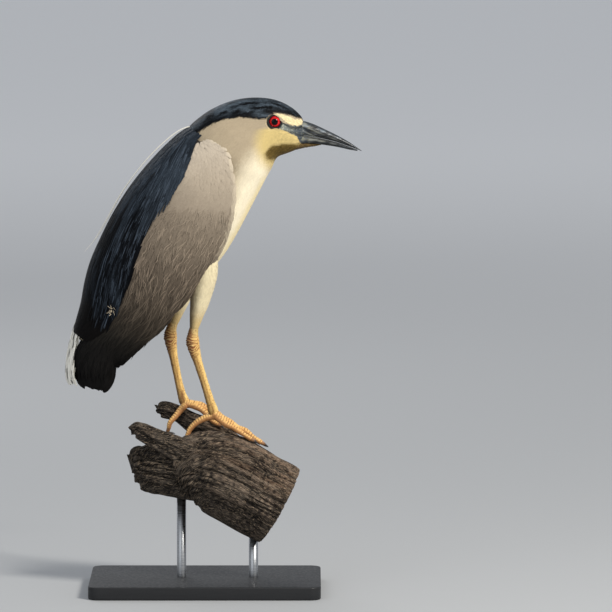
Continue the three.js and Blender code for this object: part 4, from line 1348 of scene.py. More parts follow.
# %% Feather materials
soft_feathers = feather_finish("soft_feathers", 0.82, 0.25, 0.00012, rgb(176, 166, 150),
                               Sheen_Weight=0.1, Sheen_Roughness=0.5)
glossy_feathers = feather_finish("glossy_feathers", 0.42, 0.7, 0.0002, rgb(110, 112, 118),
                                 Specular_IOR_Level=0.05)
wing_feathers = feather_finish("wing_feathers", 0.66, 0.35, 0.00015, rgb(170, 164, 158),
                               Specular_IOR_Level=0.1)
print("feather finishes ready")

# %% [markdown]
# ## Feathers of the head, neck and breast
# The coat is laid in one go from the bill to the tail, in rows a millimetre apart on the face and three
# and a half on the breast, because a bird's feathers grow smaller towards the bill with no jump.
# They are then parted by colour and place into pieces small enough to handle. Where the neck meets
# the shoulders the feathers climb onto the folded wings.
# %% The coat of the body


def clothed_form(u, turn):
    """The body's form, but the form with folded wings over the shoulders, where neck feathers lie on
    the wings. Farther down it is the body again, so that breast feathers go under the wings."""
    rise = smooth(5.4, 7.2, u) * fade(7.7, 8.7, u)
    return blend(body_form(u, turn), winged_form(u, turn), rise)


SPACING_RIBS = [0, 2, 4, 6, 9, 13, 18]
SPACING = [0.8, 0.92, 1.1, 1.4, 2.1, 2.8, 3.2]
MINOR_VANE = [0, 0.35, 0.7, 1.0]  # where along a small feather its sections stand
BARE_FROM = 0.35  # no feathers where the lores' share is more than this
NECK_FROM, BREAST_FROM, CAP_TO = 4.0, 8.2, 9.5  # ribs

# %% Rows of roots over the body
coat_rng = np.random.default_rng(7)
roots = rows_of_roots(clothed_form, 0.2, 17.8, lambda u: np.interp(u, SPACING_RIBS, SPACING),
                      lambda u: 0.85 * np.interp(u, SPACING_RIBS, SPACING), lambda u: (-math.pi, math.pi),
                      coat_rng)
gap = np.interp(roots[:, 0], SPACING_RIBS, SPACING)
on_wing = smooth(-0.1, 0.1, np.abs(roots[:, 1]) - back_turn(roots[:, 0]))
covered = (roots[:, 0] > 7.9 - 0.35 * on_wing) & (np.abs(roots[:, 1]) < front_turn(roots[:, 0]) - 0.06)
at_root = body_form(*roots.T)
_, lores = face_colour(at_root)
off_eye = np.hypot(at_root[:, 0] - EYE[0], at_root[:, 2] - EYE[1])
bare = (lores > BARE_FROM) | (off_eye < LID_REACH)
roots, gap = roots[~covered & ~bare], gap[~covered & ~bare]
print("body feathers:", len(roots), "left out under the wings:", int(covered.sum()))

# %% Midlines and colours of the coat
heading = coat_rng.normal(0, 0.07, len(roots)) + 0.12 * noise(clothed_form(*roots.T) / 9.0, 41)
lines = walk(clothed_form, roots, gap * 8.0 * coat_rng.uniform(0.8, 1.2, len(roots)), MINOR_VANE,
             heading=heading)
seen = lines[0][:, 2]
stripe, _ = face_colour(seen)
tint = blend(body_colour(roots[:, 0] + 0.1, roots[:, 1], seen), STRIPE, stripe)
dark = (tint.mean(1) < 0.3 * CREAM.mean()) & (roots[:, 0] < CAP_TO)
uneven = np.where(dark, 0.4, 0.05 + 0.15 * fade(2.0, 4.5, roots[:, 0]))
tint = tint * (1 + coat_rng.uniform(-1, 1, len(tint)) * uneven)[:, None]
print("dark feathers:", int(dark.sum()), "pale ones:", int((~dark).sum()))

# %% Four pieces of the coat
rib = roots[:, 0]
zones = {
    "cap_feathers": (dark, "cap_feathers", glossy_feathers),
    "face_feathers": (~dark & (rib < NECK_FROM), "pale_feathers", soft_feathers),
    "neck_feathers": (~dark & (rib >= NECK_FROM) & (rib < BREAST_FROM), "pale_feathers", soft_feathers),
    "breast_feathers": (~dark & (rib >= BREAST_FROM), "pale_feathers", soft_feathers),
}
bake_places = map_of(roots)
for name, (mask, slot, material) in zones.items():
    piece = feathers(name, tuple(part[mask] for part in lines), MINOR_VANE, 1.9 * gap[mask], tint[mask],
                     bake_places[mask], thick=0.05 + 0.02 * gap[mask], blunt=0.1,
                     roll=coat_rng.normal(0, 0.03, mask.sum()), deep=0.14 + 0.2 * gap[mask],
                     camber=0.04, root_shade=0.98)
    hand_over(piece, slot, material)

# %% Chin feathers
chin_rng = np.random.default_rng(8)
backwards = limb_form(CHIN_LINE[::-1])
roots = rows_of_roots(backwards, 0.02, 3.8, lambda v: 1.0, lambda v: 0.8, lambda v: (0.0, TURN), chin_rng)
lines = walk(backwards, roots, chin_rng.uniform(3.5, 6, len(roots)), MINOR_VANE,
             heading=chin_rng.normal(0, 0.08, len(roots)))
# the chin's feathers carry its olive and its painted shade
chin_feathers = feathers("chin_feathers", lines, MINOR_VANE, 1.5,
                         vary(each(CHIN_IN_SHADE, len(roots)), 0.25, chin_rng), map_of(roots),
                         thick=0.1, blunt=0.1, deep=0.3, lift=chin_rng.uniform(0.1, 0.7, len(roots)),
                         camber=0.08, root_shade=0.95)
hand_over(chin_feathers, "pale_feathers", soft_feathers)

# %% Feathered thighs
for side in SIDES:
    thigh_rng = np.random.default_rng(30 + SIDES[side])
    roots = rows_of_roots(thigh_forms[side], 0.0, 3.75, lambda v: 2.2 - 0.25 * v, lambda v: 1.9 - 0.2 * v,
                          lambda v: (0.0, TURN), thigh_rng)
    size = (12 - 1.4 * roots[:, 0]) * thigh_rng.uniform(0.85, 1.15, len(roots))
    lines = walk(thigh_forms[side], roots, size, MINOR_VANE, heading=thigh_rng.normal(0, 0.08, len(roots)))
    # painted shade: the back of each thigh is darkened to grey-brown
    behind = smooth(-0.3, 0.95, -np.sin(roots[:, 1]))
    shade = np.clip(0.93 * behind + 0.1 * noise(lines[0][:, 1] / 7.0, 44), 0, 1)
    tint = coats(rgb(230, 216, 178), (THIGH_END, 0.9 * smooth(1.8, 3.4, roots[:, 0])),
                 (rgb(88, 70, 40), shade))
    piece = feathers(f"thigh_feathers_{side}", lines, MINOR_VANE, 3.2 - 0.4 * roots[:, 0],
                     vary(tint, 0.06, thigh_rng), map_of(roots), thick=0.15, blunt=0.1,
                     deep=1.2 - 0.2 * roots[:, 0], camber=0.08, root_shade=0.95)
    hand_over(piece, "pale_feathers", soft_feathers)

# %% [markdown]
# ## The back
# Black feathers with a blue-green gloss cover the back from the nape to the rump. Those at the sides,
# the scapulars, are long and hang in strands over the grey wing. The form here is the one with folded
# wings, cut at the wings' back edges.
# %% The back's form and colours
FULL_VANE = [0, 0.3, 0.55, 0.75, 0.9, 0.97, 1.0]  # sections close together where the tip rounds off
back_rng = np.random.default_rng(11)


def mantle_form(u, q):
    """The winged form between the two wings: q goes from -1 to 1 between their back edges."""
    u, q = alike(u, q)
    return winged_form(u, q * (back_turn(u) + 0.06 - 0.17 * fade(10.0, 13.5, u)))


def back_tint(points, rng):
    """Blue-black, with painted sheen: greyer at the top and long streaks of slate. Brown-black at the lower
    end. The end is a slanting line: z = 287 - 1.56 (x + 110)."""
    streak = noise(points / [30.0, 3.5, 30.0], 45)
    slate = (0.2 + 0.5 * smooth(300, 400, points[:, 2])) * smooth(0.0, 0.6, streak)
    slate = slate + 0.65 * smooth(395, 470, points[:, 2])
    tint = blend(BACK, rgb(50, 58, 67), np.clip(slate, 0, 1))
    end = points[:, 2] - 287 + 1.56 * (points[:, 0] + 110)
    return vary(blend(rgb(15, 13, 12), tint, smooth(-10, 10, end)), 0.35, rng)


# %% Feathers of the back
roots = rows_of_roots(mantle_form, 7.9, 17.0, lambda u: 4.2, lambda u: 3.6, lambda u: (-1, 1), back_rng)
wanted = np.interp(roots[:, 0], [7, 10, 14, 18], [18, 30, 42, 30]) * back_rng.uniform(0.85, 1.15, len(roots))
to_rump = np.linalg.norm(mantle_form(np.full(len(roots), 17.6), roots[:, 1]) - mantle_form(*roots.T), axis=1)
size = np.minimum(wanted, to_rump + 4)
lines = walk(mantle_form, roots, size, FULL_VANE, heading=back_rng.normal(0, 0.05, len(roots)),
             bounds=lambda place: (place[:, 0] < 18.4) & (np.abs(place[:, 1]) < 1.3))
back = feathers("back_feathers", lines, FULL_VANE, np.interp(roots[:, 0], [7, 10, 18], [5.5, 7.5, 8.5]),
                back_tint(lines[0][:, 4], back_rng), map_of(roots), section=VANE, thick=0.3, blunt=0.35,
                deep=1.8, lift=0.1, roll=back_rng.normal(0, 0.05, len(roots)), camber=0.12,
                base=0.5 + 0.6 * smooth(0.75, 1, np.abs(roots[:, 1])), root_shade=0.85)
hand_over(back, "back_feathers", glossy_feathers, "mantle")

# %% Strands of the scapulars
for side_name, side in SIDES.items():
    strand_rng = np.random.default_rng(40 + side)
    count = 900  # strands on each side
    roots = np.stack([strand_rng.uniform(8.4, 15.0, count),
                      side * np.sqrt(strand_rng.uniform(0.3, 1.0, count))], -1)
    size = strand_rng.uniform(24, 48, count)
    steep = np.array([-0.22, 0.0, -1.0])
    local = mantle_form(roots[:, 0] + 0.05, roots[:, 1]) - mantle_form(*roots.T)
    lines = walk(mantle_form, roots, size, FULL_VANE,
                 towards=(unit(unit(local) + 0.25 * steep), unit(0.5 * unit(local) + 1.0 * steep)),
                 bounds=lambda place: (place[:, 0] < 16.8) & (np.abs(place[:, 1]) < 1.6))
    tint = back_tint(lines[0][:, 4], strand_rng)
    # painted sheen: a few strands are lighter slate
    tint = blend(tint, rgb(96, 108, 122), 0.6 * strand_rng.random(count) ** 5)
    piece = feathers(f"scapular_strands_{side_name}", lines, FULL_VANE,
                     strand_rng.uniform(1.4, 3.4, count), tint, map_of(roots), section=LOCK, thick=0.3,
                     blunt=0.05, deep=0.6, lift=0.2, camber=0.08, roll=strand_rng.normal(0, 0.08, count),
                     wave=strand_rng.normal(0, 0.6, count), base=1.2, root_shade=0.9)
    hand_over(piece, "back_feathers", glossy_feathers)

# %% [markdown]
# ## The folded wings
# Most of a folded wing is coverts: small grey feathers at the wrist that grow towards the tip, each row
# lying over the next. Below them the quills, darker grey and painted nearly black as shade, run down to
# the wing tip. The lower coverts are loose, and their barbs part into hair-like strands that hang more
# steeply than the wing's edge. Every feather leaves its root along the wing and is bent on the way to
# where the wing goes.
# %% The wing's length and colours
wing_middle = wing_place(np.linspace(0, 1, 200), np.full(200, 0.5))
WING_RUN = run_along(wing_middle)
# painted shade: the greys below darken along the wing to near black at the tip
WING_GREYS_AND_SHADE = [rgb(192, 180, 163), rgb(176, 163, 145), rgb(132, 120, 105), rgb(103, 92, 80),
             rgb(80, 71, 61), rgb(54, 48, 41), rgb(24, 22, 19), rgb(12, 11, 10), rgb(10, 9, 9)]
WING_HUES_AT = [0.02, 0.16, 0.3, 0.44, 0.55, 0.63, 0.7, 0.78, 1.0]


def wing_left(s):
    """The length of the wing from s to its tip."""
    return WING_RUN[-1] - np.interp(s, np.linspace(0, 1, 200), WING_RUN)


def wing_colour(s, t):
    """Grey that darkens along the wing, a little sooner at the back edge, with a pale front edge. The
    darkening is painted shade, near black at the tip, over quills of a somewhat darker grey.
    """
    at = s + 0.05 * (t - 0.4)
    hue = joined(*(np.interp(at, WING_HUES_AT, [h[c] for h in WING_GREYS_AND_SHADE]) for c in range(3)))
    rim = fade(0.01, 0.04, t) * fade(0.3, 0.5, s)
    return blend(hue, rgb(226, 212, 186), 0.4 * rim)


# %% Midlines of wing feathers
WING_END = 20.8  # the rib past which a feather runs straight on


def wing_lines(side, roots, size, stations, steep, astray=0.0):
    """Midlines of wing feathers. roots are s and t, and steep, from 0 to 1, turns each from the wing's
    own direction towards straight down. astray is one more turn for each, in radians."""
    s, t = roots.T
    place = wing_place(s, t)
    u, fall = rib_at(place)
    turn = side * turn_at(fall)

    def flow(at):
        slope = unit(wing_place(at + 0.01, t) - wing_place(at - 0.01, t))
        slope = unit(slope * (1 - steep)[:, None] + np.array([-0.05, -1.0]) * steep[:, None])
        slope = slope + joined(-slope[:, 1], slope[:, 0]) * np.tan(astray * np.ones(len(s)))[:, None]
        return joined(slope[:, 0], 0 * at, slope[:, 1])

    return walk(winged_form, joined(u, turn), size, stations,
                towards=(flow(s), flow(np.minimum(s + size / WING_RUN[-1], 1.0))),
                bounds=lambda place: ((place[:, 0] < WING_END)
                                      & (np.abs(place[:, 1]) < front_turn(place[:, 0]) + 0.03)))


def flat_wing(s, t):
    """The wing laid out in the middle plane, for spacing its roots."""
    place = wing_place(s, t)
    return joined(place[..., 0], np.zeros(place.shape[:-1]), place[..., 1])


# %% Quills


def lay_quills(side_name, side, rng):
    """The long feathers of the wing's lower half, which end at its tip: darker grey, painted nearly black
    as shade.
    """
    roots = rows_of_roots(flat_wing, 0.5, 0.88, lambda s: 6.0, lambda s: 6.0, lambda s: (0.05, 0.98), rng)
    s, t = roots.T
    size = np.minimum(rng.uniform(58, 74, len(s)), wing_left(s) + rng.uniform(-2, 1, len(s)))
    lines = wing_lines(side, roots, size, FULL_VANE, 0.15 * (1 - t))
    quills = feathers(f"wing_quills_{side_name}", lines, FULL_VANE, 12.0,
                      vary(wing_colour(s + 0.12, t), 0.35, rng), map_of(roots), section=VANE, thick=0.4,
                      blunt=0.55, deep=1.2, camber=0.12, roll=rng.normal(0, 0.05, len(s)), base=-1.0,
                      root_shade=0.8)
    hand_over(quills, "wing_feathers", wing_feathers, f"wing_{side_name}")


# %% Coverts


def lay_coverts(side_name, side, rng):
    """The grey feathers that cover the wing, from 7.5 mm long at the wrist to 38 mm near the tip."""
    roots = rows_of_roots(flat_wing, 0.004, 0.72, lambda s: 2.2 + 5.0 * s, lambda s: 2.4 + 4.0 * s,
                          lambda s: (0.0, 1.0 + 0.22 * fade(0.3, 0.6, s)), rng)
    s, t = roots.T
    size = (7.5 + 42 * s) * rng.uniform(0.85, 1.15, len(s))
    loose = smooth(0.3, 0.5, s)
    steep = 0.7 * fade(0.15, 0.7, t) * smooth(0.02, 0.16, t) * loose
    lines = wing_lines(side, roots, size, FULL_VANE, steep)
    hue = wing_colour(s + 0.5 * size / WING_RUN[-1], t)
    mottle = 0.13 * layered(lines[0][:, 4] / 12.0, 3, 47)
    tint = vary(hue * (1 + mottle)[:, None], 0.03, rng)
    coverts = feathers(f"wing_coverts_{side_name}", lines, FULL_VANE, 3.8 + 8.5 * s, tint, map_of(roots),
                       section=VANE, thick=0.07 + 0.2 * s, blunt=0.3, deep=0.5 + 1.3 * s, camber=0.06,
                       lift=0.15 * loose, roll=rng.normal(0, 0.02 + 0.03 * loose, len(s)),
                       base=-0.2 - 1.2 * smooth(0.85, 1, t - 0.17 * fade(0.3, 0.6, s)),
                       root_shade=0.96)
    hand_over(coverts, "wing_feathers", wing_feathers)


# %% Loose barbs
HAIR = [0, 0.2, 0.4, 0.6, 0.8, 1.0]
HAIRS = 5200  # on each wing
# the pale barbs stand for painted highlights, where loose barbs catch the light
LIT_BARB_SHARE, DARK_SHARE = 0.1, 0.16  # of the barbs


def lay_hairs(side_name, side, rng):
    """Barbs that have come apart into hair-like strands, a tenth of them pale, as painted highlights where
    loose barbs catch the light, and a sixth dark.
    """
    roots = joined(0.24 + 0.58 * rng.random(HAIRS) ** 0.8, rng.uniform(0.0, 1.0, HAIRS))
    s, t = roots.T
    size = np.minimum((10 + 26 * s) * rng.uniform(0.7, 1.3, HAIRS), wing_left(s) + 1)
    steep = (0.45 * smooth(0.2, 0.5, s) * fade(0.72, 0.85, s) * smooth(0.0, 0.12, t)
             * (1 - 0.7 * smooth(0.6, 1.0, t)))
    swirl = 0.22 * noise(np.column_stack([wing_place(s, t) / 16.0, np.full(HAIRS, 3.0 * side)]), 49)
    lines = wing_lines(side, roots, size, HAIR, steep, swirl + rng.normal(0, 0.1, HAIRS))
    kind = rng.random(HAIRS)
    pale = kind < LIT_BARB_SHARE
    shade = 1 + 0.12 * rng.standard_normal(HAIRS)
    shade = shade * np.where(pale, 2.1, 1) * np.where(kind > 1 - DARK_SHARE, 0.5, 1)
    shade = 1 + (shade - 1) * smooth(0.18, 0.5, s)
    tint = wing_colour(s + 0.5 * size / WING_RUN[-1], t) * shade[:, None]
    hairs = feathers(f"wing_hairs_{side_name}", lines, HAIR,
                     np.where(pale, 1.1, rng.uniform(1.2, 2.6, HAIRS)), tint, map_of(roots),
                     section=LOCK, thick=0.25, blunt=0.05, deep=0.45, lift=0.3, camber=0.04,
                     base=0.15 + 0.35 * pale, curl=rng.normal(0, 2.0, HAIRS),
                     wave=rng.normal(0, 1.0, HAIRS), root_shade=0.96)
    hand_over(hairs, "wing_feathers", wing_feathers)


# %% Both wings
for side_name, side in SIDES.items():
    wing_rng = np.random.default_rng(20 + side)
    lay_quills(side_name, side, wing_rng)
    lay_coverts(side_name, side, wing_rng)
    lay_hairs(side_name, side, wing_rng)

# %% A stray tuft of down
down_rng = np.random.default_rng(90)
count = 14  # barbs
middle = np.array([-99.3, 309.6])  # x, z, on the right side
u, fall = rib_at(middle + down_rng.normal(0, 1.0, (count, 2)) * [1.0, 2.0])
roots = joined(u, -turn_at(fall))
lines = walk(winged_form, roots, down_rng.uniform(1.6, 5.4, count), HAIR,
             heading=down_rng.normal(0, 1.1, count))
down = feathers("stray_down", lines, HAIR, down_rng.uniform(0.35, 0.75, count),
                vary(each(rgb(206, 190, 164), count), 0.12, down_rng), map_of(roots),
                thick=0.3, blunt=0.05, deep=0.2, lift=1.2, base=2.0,
                wave=down_rng.normal(0, 0.5, count), root_shade=0.9)
hand_over(down, "wing_feathers", soft_feathers)

# %% [markdown]
# ## Tail
# Twelve short feathers close like a fan into one arched plate. The middle pair lies on top and each
# further pair a little lower. They are nearly white here, soiled, with a few dark flecks.
# %% The tail's form
TAIL = [[-131, 312, 9, 3, 5], [-141.5, 288, 12, 5, 4.5], [-148.5, 262, 15.5, 7.5, 4], [-151, 240, 18, 9, 3],
        [-150, 229, 17.5, 9.5, 2.6], [-147, 223.4, 13, 8, 2.2]]
TAIL_WHITE = rgb(250, 247, 236)
FLECK_SHARE = 0.16  # of the coverts are dark


def tail_form(v, across):
    """The tail's arched upper face: v goes from the root to the end, across from -1 to 1. The sides
    fall from the ridge as the square of across."""
    v, across = alike(v, across)
    row = spline(TAIL, v)
    ahead = heading_at(TAIL, v, 2)
    fall = (row[..., 3] * across**2)[..., None]
    inward = joined(-ahead[..., 1], ahead[..., 0])
    ridge = row[..., :2] + inward * fall
    return joined(ridge[..., 0], across * row[..., 2], ridge[..., 1])


print("the tail's end:", tail_form(len(TAIL) - 1, 0).round(1))

# %% Twelve tail feathers
tail_rng = np.random.default_rng(50)
TAIL_PAIRS = 6
TAIL_FEATHERS = 2 * TAIL_PAIRS
TAIL_LENGTH = 83
places = (np.arange(TAIL_FEATHERS) - TAIL_PAIRS + 0.5) / TAIL_PAIRS * 0.86
order = np.argsort(-np.abs(places))
roots = joined(np.full(TAIL_FEATHERS, 0.3), places[order])
LONG_VANE = np.concatenate([np.linspace(0, 0.8, 12), [0.87, 0.93, 0.97, 0.99, 1.0]])
lines = walk(tail_form, roots, TAIL_LENGTH - 10 * np.abs(roots[:, 1]) ** 2, LONG_VANE,
             bounds=lambda place: place[:, 0] < 5)
tail = feathers("tail_feathers", lines, LONG_VANE, 11.0,
                vary(each(TAIL_WHITE, TAIL_FEATHERS), 0.06, tail_rng), map_of(roots),
                section=VANE, thick=0.7, blunt=0.75, deep=0.0, camber=0.05,
                base=-0.35 - 0.45 * np.arange(TAIL_FEATHERS)[::-1] / 2, root_shade=0.9)
hand_over(tail, "tail_feathers", soft_feathers, "tail")

# %% Tail coverts
roots = rows_of_roots(tail_form, 0.0, 4.2, lambda v: 6.0, lambda v: 3.4, lambda v: (-1.0, 1.0), tail_rng)
tail_run = run_along(np.array(TAIL)[:, :2])
size = np.minimum(tail_rng.uniform(16, 30, len(roots)),
                  tail_run[-1] - np.interp(roots[:, 0], np.arange(len(TAIL)), tail_run))
lines = walk(tail_form, roots, size, FULL_VANE, heading=tail_rng.normal(0, 0.06, len(roots)),
             bounds=lambda place: (place[:, 0] < 5) & (np.abs(place[:, 1]) < 1.2))
fleck = tail_rng.random(len(roots)) < FLECK_SHARE
tint = vary(blend(TAIL_WHITE, rgb(168, 162, 150), 0.3 * tail_rng.random(len(roots))), 0.08, tail_rng)
tint = blend(tint, rgb(30, 27, 25), 0.9 * fleck)
tail_coverts = feathers("tail_coverts", lines, FULL_VANE, 3.4, tint, map_of(roots), section=VANE, thick=0.3,
                        blunt=0.2, deep=0.6, lift=0.3, base=0.1, roll=tail_rng.normal(0, 0.1, len(roots)),
                        root_shade=0.95)
hand_over(tail_coverts, "tail_feathers", soft_feathers)

# %% [markdown]
# ## Nape plumes
# In the breeding season two or three narrow white plumes hang from the nape down the back. They are
# single feathers with very short barbs, stiff enough to stand off the back at their tips.
# %% Two white plumes
PLUME_PATH = [[-10, 506.5], [-27, 500.5], [-46, 485.5], [-68, 462], [-90, 431.5], [-107, 401], [-119, 381],
              [-130, 368]]
PLUMES = {"right": (-3.2, -5, 0), "left": (3.2, 7, 6)}
PLUME_VANE = np.linspace(0, 1, 48)
path = spline(PLUME_PATH, PLUME_VANE * (len(PLUME_PATH) - 1))
strands = []
for side, (y, lean, rise) in PLUMES.items():
    bend = PLUME_VANE**2
    strands.append(joined(path[:, 0] + rise * bend, y + lean * bend, path[:, 1] + rise * bend))
points = np.stack(strands)
alongs = unit(np.gradient(points, axis=1))
outs = unit(np.cross(alongs, np.array([0, 1.0, 0])))
outs = outs * np.sign(outs[..., 2:3])
plumes = feathers("nape_plumes", (points, alongs, outs), PLUME_VANE, [3.4, 3.0],
                  each(rgb(240, 236, 224), 2), np.array([[0.3, 0.1], [0.7, 0.1]]),
                  section=VANE, thick=0.8, blunt=0.2, deep=1.5, camber=0.1, base=0.2, root_shade=0.95)
hand_over(plumes, "plumes", soft_feathers, "plume_left", "plume_right")

# %% [markdown]
# ## The dead branch
# Long-dead wood weathers along its grain: soft wood wears out between hard lines, so furrows run
# lengthwise, and old breaks end in splinters. Each of the three stumps is a limb with waves round its
# section that drift along it. Finer furrows are noise drawn out along the length. All of it cuts
# into the wood, so that the feet still stand on its surface.
# %% Stations and colours of the three stumps
LOG = [[-77, 2, 133, 19, 1.1], [-70, 2, 134, 26, 1.1], [-54, 1, 133, 30, 1.15], [-34, 0, 131, 31, 1.22],
       [-19, -2, 130.5, 34, 1.18], [-9, -6, 133.4, 42, 1.06], [6, -8, 132.4, 46.5, 1.02],
       [22, -9, 126.6, 48.5, 1], [40, -8, 117.4, 48.8, 1], [60, -6, 105.5, 48.5, 1], [80, -4, 94.5, 48, 1]]
KNOB = [[-79, -25, 177, 6, 1], [-72, -26, 178, 10, 1], [-56, -27, 170.5, 12, 1], [-36, -27, 161, 14, 1],
        [-12, -25, 148, 17, 1]]
SPUR = [[-52, 22, 194, 6, 1], [-46, 22, 194, 9.8, 1], [-30, 20, 189.5, 9.6, 1], [-12, 18, 179, 12, 1],
        [10, 17, 169, 15, 1], [32, 13, 150, 18, 1]]
WOOD_DARK = rgb(38, 32, 29)
WOOD_GREY = rgb(128, 113, 99)
WOOD_BROWN = rgb(92, 70, 54)


# %% A weathered stump


def weathered_branch(name, stations, rings, sides, depth, furrow, seed):
    """A stump of the branch. The waves are a sum of sines round the section, as in the solid, and the
    furrows are ridges of noise, 1 - |noise|, drawn out twelve times along the length."""
    stations = np.array(stations, float)
    last = len(stations) - 1
    smooth_form = limb_form(stations)
    v, turn, plain = grid_of(smooth_form, last, rings, sides)
    run = np.broadcast_to(run_along(spline(stations, v[:, 0])[:, :3])[:, None], v.shape)
    centre, radius = np.split(spline(stations, v), [3], axis=-1)
    radius = radius[..., 0]
    under = -turn  # its sine is 1 on the underside
    t = v / last
    waves = (0.5 * np.sin(5 * under + 3 * t) + 0.3 * np.sin(9 * under - 5 * t + 1)
             + 0.2 * np.sin(3 * under + 9 * t + 2))
    worn = 1 - 0.85 * smooth(0.55, 0.95, np.sin(under))
    ring_place = joined(run / 12, np.cos(turn) * radius, np.sin(turn) * radius)
    warp = 2.2 * noise(ring_place / 9.0, seed)[..., None] * [0.0, 1.0, 1.0]
    coarse = 1 - np.abs(noise((ring_place + warp) / 4.6, seed + 1))
    fine = 1 - np.abs(noise((ring_place + warp) / 1.7, seed + 2))
    hair = noise((ring_place + warp) / [1.4, 0.75, 0.75], seed + 3)
    cracks = smooth(0.72, 0.98, coarse)
    grooves = furrow * (1.0 * smooth(0.35, 0.95, coarse) + 0.5 * fine + 0.12 * hair)
    cut = radius * depth * worn * (0.5 + 0.5 * waves) + grooves * (0.3 + 0.7 * worn)
    cut = cut + 2.6 * cracks * worn
    broken = fade(0.0, 0.3, t)
    crumbs = layered(plain / 5.0, 3, seed + 6)
    cut = cut + broken * (1.2 + 2.2 * crumbs)
    points = centre + (plain - centre) * (1 - cut / radius)[..., None]
    ragged = 9.0 * fade(0.0, 0.15, t) * layered(plain / 8.0, 3, seed + 7)
    points = points + heading_at(stations, v) * ragged[..., None]
    # the raised wood paler, partly its weathered grey and partly painted highlight
    pale = np.clip(1.15 - cut / (furrow * 1.6 + radius * depth), 0, 1)
    pale = pale**1.5 * (0.5 + 0.5 * noise(ring_place / 14.0, seed + 4))
    brown = smooth(0.1, 0.7, noise(ring_place / 8.0, seed + 5))
    sunlit = smooth(-30, 50, plain[..., 0]) * smooth(-0.3, 0.8, -np.sin(under))
    dark_bands = smooth(0.05, 0.5, noise(ring_place / [9.0, 6.0, 6.0], seed + 8))
    worn_pale = smooth(0.25, 0.6, noise(ring_place / [6.0, 3.0, 3.0], seed + 9)) * (1 - cracks)
    # the broken end darker, like char, and painted shade on the underside and towards the left, away from the
    # light
    char_and_shade = 0.75 * broken + 0.6 * smooth(-0.2, 0.8, np.sin(under))
    char_and_shade = np.clip(char_and_shade + 0.55 * fade(-50, 20, plain[..., 0]), 0, 0.85)
    # painted shade: the cracks are near black
    tint = coats(WOOD_DARK, (WOOD_GREY, pale), (WOOD_BROWN, 0.5 * brown),
                 (rgb(150, 116, 88), 0.3 * sunlit * (1 - cracks)), (rgb(20, 17, 15), 0.75 * dark_bands),
                 (rgb(150, 132, 114), 0.45 * worn_pale), (rgb(24, 21, 19), char_and_shade),
                 (rgb(12, 10, 9), 0.85 * cracks))
    grain_map = joined(run, turn * radius) * MM
    return add_piece(name, points, tube_faces(rings, sides), tint=tint, maps={"Grain": grain_map},
                     marks={"Known": np.ones(v.shape)})


# %% One branch
branch = weathered_branch("dead_branch", LOG, rings=200, sides=300, depth=0.1, furrow=2.0, seed=60)
knob = weathered_branch("knob", KNOB, rings=90, sides=80, depth=0.16, furrow=1.0, seed=70)
spur = weathered_branch("spur", SPUR, rings=110, sides=90, depth=0.12, furrow=0.8, seed=80)
branch = weld(branch, knob, spur)

# %% The wood's finish
wood_finish = Finish("dead_wood", Roughness=0.9, Specular_IOR_Level=0.25)
grain_place = wood_finish.stretch(wood_finish.map("Grain"), (60, 900, 1))
wood_grain = wood_finish.grain(grain_place, 1.0, 5.0, 0.6, 0.4)
wood_spots = wood_finish.grain(wood_finish.place(), 90.0, 5.0, 0.65)
splinters = wood_finish.stretch(wood_finish.map("Grain"), (260, 1300, 1))
wood_specks = wood_finish.grain(splinters, 1.0, 4.0, 0.7)
wood_tint = wood_finish.mix(wood_grain.ramp(0.4, 0.75, 0.0, 0.6), wood_finish.mark("Tint", "Color"),
                            rgb(150, 136, 120))
wood_tint = wood_finish.mix(wood_spots.ramp(0.46, 0.58, 0.0, 0.75), wood_tint, rgb(22, 18, 16))
wood_tint = wood_finish.mix(wood_specks.ramp(0.54, 0.64, 0.0, 0.75), wood_tint, rgb(176, 154, 128))
wood_tint = wood_finish.mix(wood_specks.ramp(0.48, 0.39, 0.0, 0.9), wood_tint, rgb(10, 9, 8))
wood_material = wood_finish.wear(
    Base_Color=wood_tint,
    Normal=wood_finish.bump(wood_grain + wood_spots * 0.6 + wood_specks * 0.5, 0.002, 1.0),
    Roughness=wood_spots.ramp(0.3, 0.7, 0.8, 0.97))
print("wood finish ready")
hand_over(branch, "perch_wood", wood_material, "perch")

# %% [markdown]
# ## Display stand
# The bird and its branch stand on a flat black base, held by two steel rods. The base's outline is a
# rectangle with round corners. It is made as rings of that outline, drawn in at the upper and lower
# edge by a quarter circle.
# %% Base
base_low, base_high = (np.array(corner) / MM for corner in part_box("stand_base"))
BASE_CORNER, BASE_EDGE = 12.0, 1.5
BASE_SIDES = 96
BEVEL_RINGS = 6
corner_turn = (np.arange(BASE_SIDES) + 0.5) * TURN / BASE_SIDES
half_base = (base_high - base_low)[:2] / 2


def base_ring(inset, z):
    """The base's outline, drawn in by inset: each corner is a quarter circle about its own middle."""
    square = np.sign(joined(np.cos(corner_turn), np.sin(corner_turn))) * (half_base - BASE_CORNER)
    ring = square + (BASE_CORNER - inset) * joined(np.cos(corner_turn), np.sin(corner_turn))
    return np.column_stack([ring, np.full(len(ring), z)])


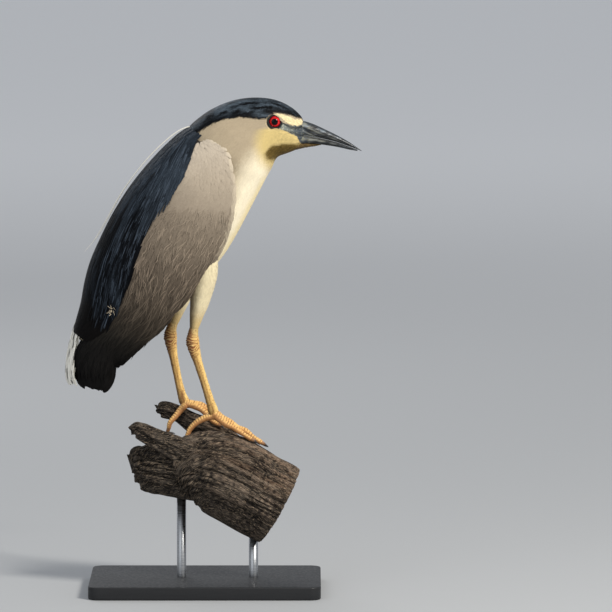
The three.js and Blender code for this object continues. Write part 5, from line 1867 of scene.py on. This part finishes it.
bevel = np.linspace(0, math.pi / 2, BEVEL_RINGS)
sines, cosines = BASE_EDGE * (1 - np.sin(bevel)), BASE_EDGE * (1 - np.cos(bevel))
base_rings = [base_ring(inset, base_low[2] + rise) for inset, rise in zip(sines, cosines)]
base_rings += [base_ring(inset, base_high[2] - drop) for inset, drop in zip(cosines, sines)]
base = add_piece("base_plate", np.stack(base_rings), tube_faces(len(base_rings), BASE_SIDES))
base_finish = Finish("black_lacquer", Roughness=0.55, Coat_Weight=0.06, Specular_IOR_Level=0.3)
base_grain = base_finish.grain(base_finish.stretch(base_finish.place(), (30, 500, 500)), 1.0, 4.0)
dust = base_finish.grain(base_finish.place(), 400.0, 3.0)
base_material = base_finish.wear(
    Base_Color=base_finish.mix(base_grain, rgb(26, 27, 29), rgb(38, 39, 41)),
    Roughness=dust.ramp(0.3, 0.7, 0.5, 0.66),
    Normal=base_finish.bump(base_grain, 0.0002, 0.5))
hand_over(base, "stand_base", base_material, "stand_base")

# %% Rods
ROD_SIDES = 48
rod_finish = Finish("brushed_steel", Metallic=1.0)
rod_grain = rod_finish.grain(rod_finish.stretch(rod_finish.place(), (60, 60, 2500)), 1.0, 3.0)
rod_material = rod_finish.wear(
    Base_Color=rod_finish.mix(rod_grain, rgb(150, 152, 155), rgb(186, 188, 190)),
    Roughness=rod_grain.ramp(0.3, 0.7, 0.26, 0.42),
    Normal=rod_finish.bump(rod_grain, 0.00005, 0.4))
for name in ("front", "rear"):
    rod_low, rod_high = (np.array(corner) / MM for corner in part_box(f"stand_rod_{name}"))
    middle = (rod_low + rod_high) / 2
    radius = (rod_high[0] - rod_low[0]) / 2
    heights = [rod_low[2] - 0.3, rod_low[2], rod_high[2] + 3]  # a little into the base and the wood
    ring = once_round(ROD_SIDES)
    rod_points = np.stack([np.column_stack([middle[0] + radius * np.cos(ring), radius * np.sin(ring),
                                            np.full(ROD_SIDES, z)]) for z in heights])
    rod = add_piece(f"steel_rod_{name}", rod_points, tube_faces(len(heights), ROD_SIDES))
    hand_over(rod, "stand_rod", rod_material, f"stand_rod_{name}")
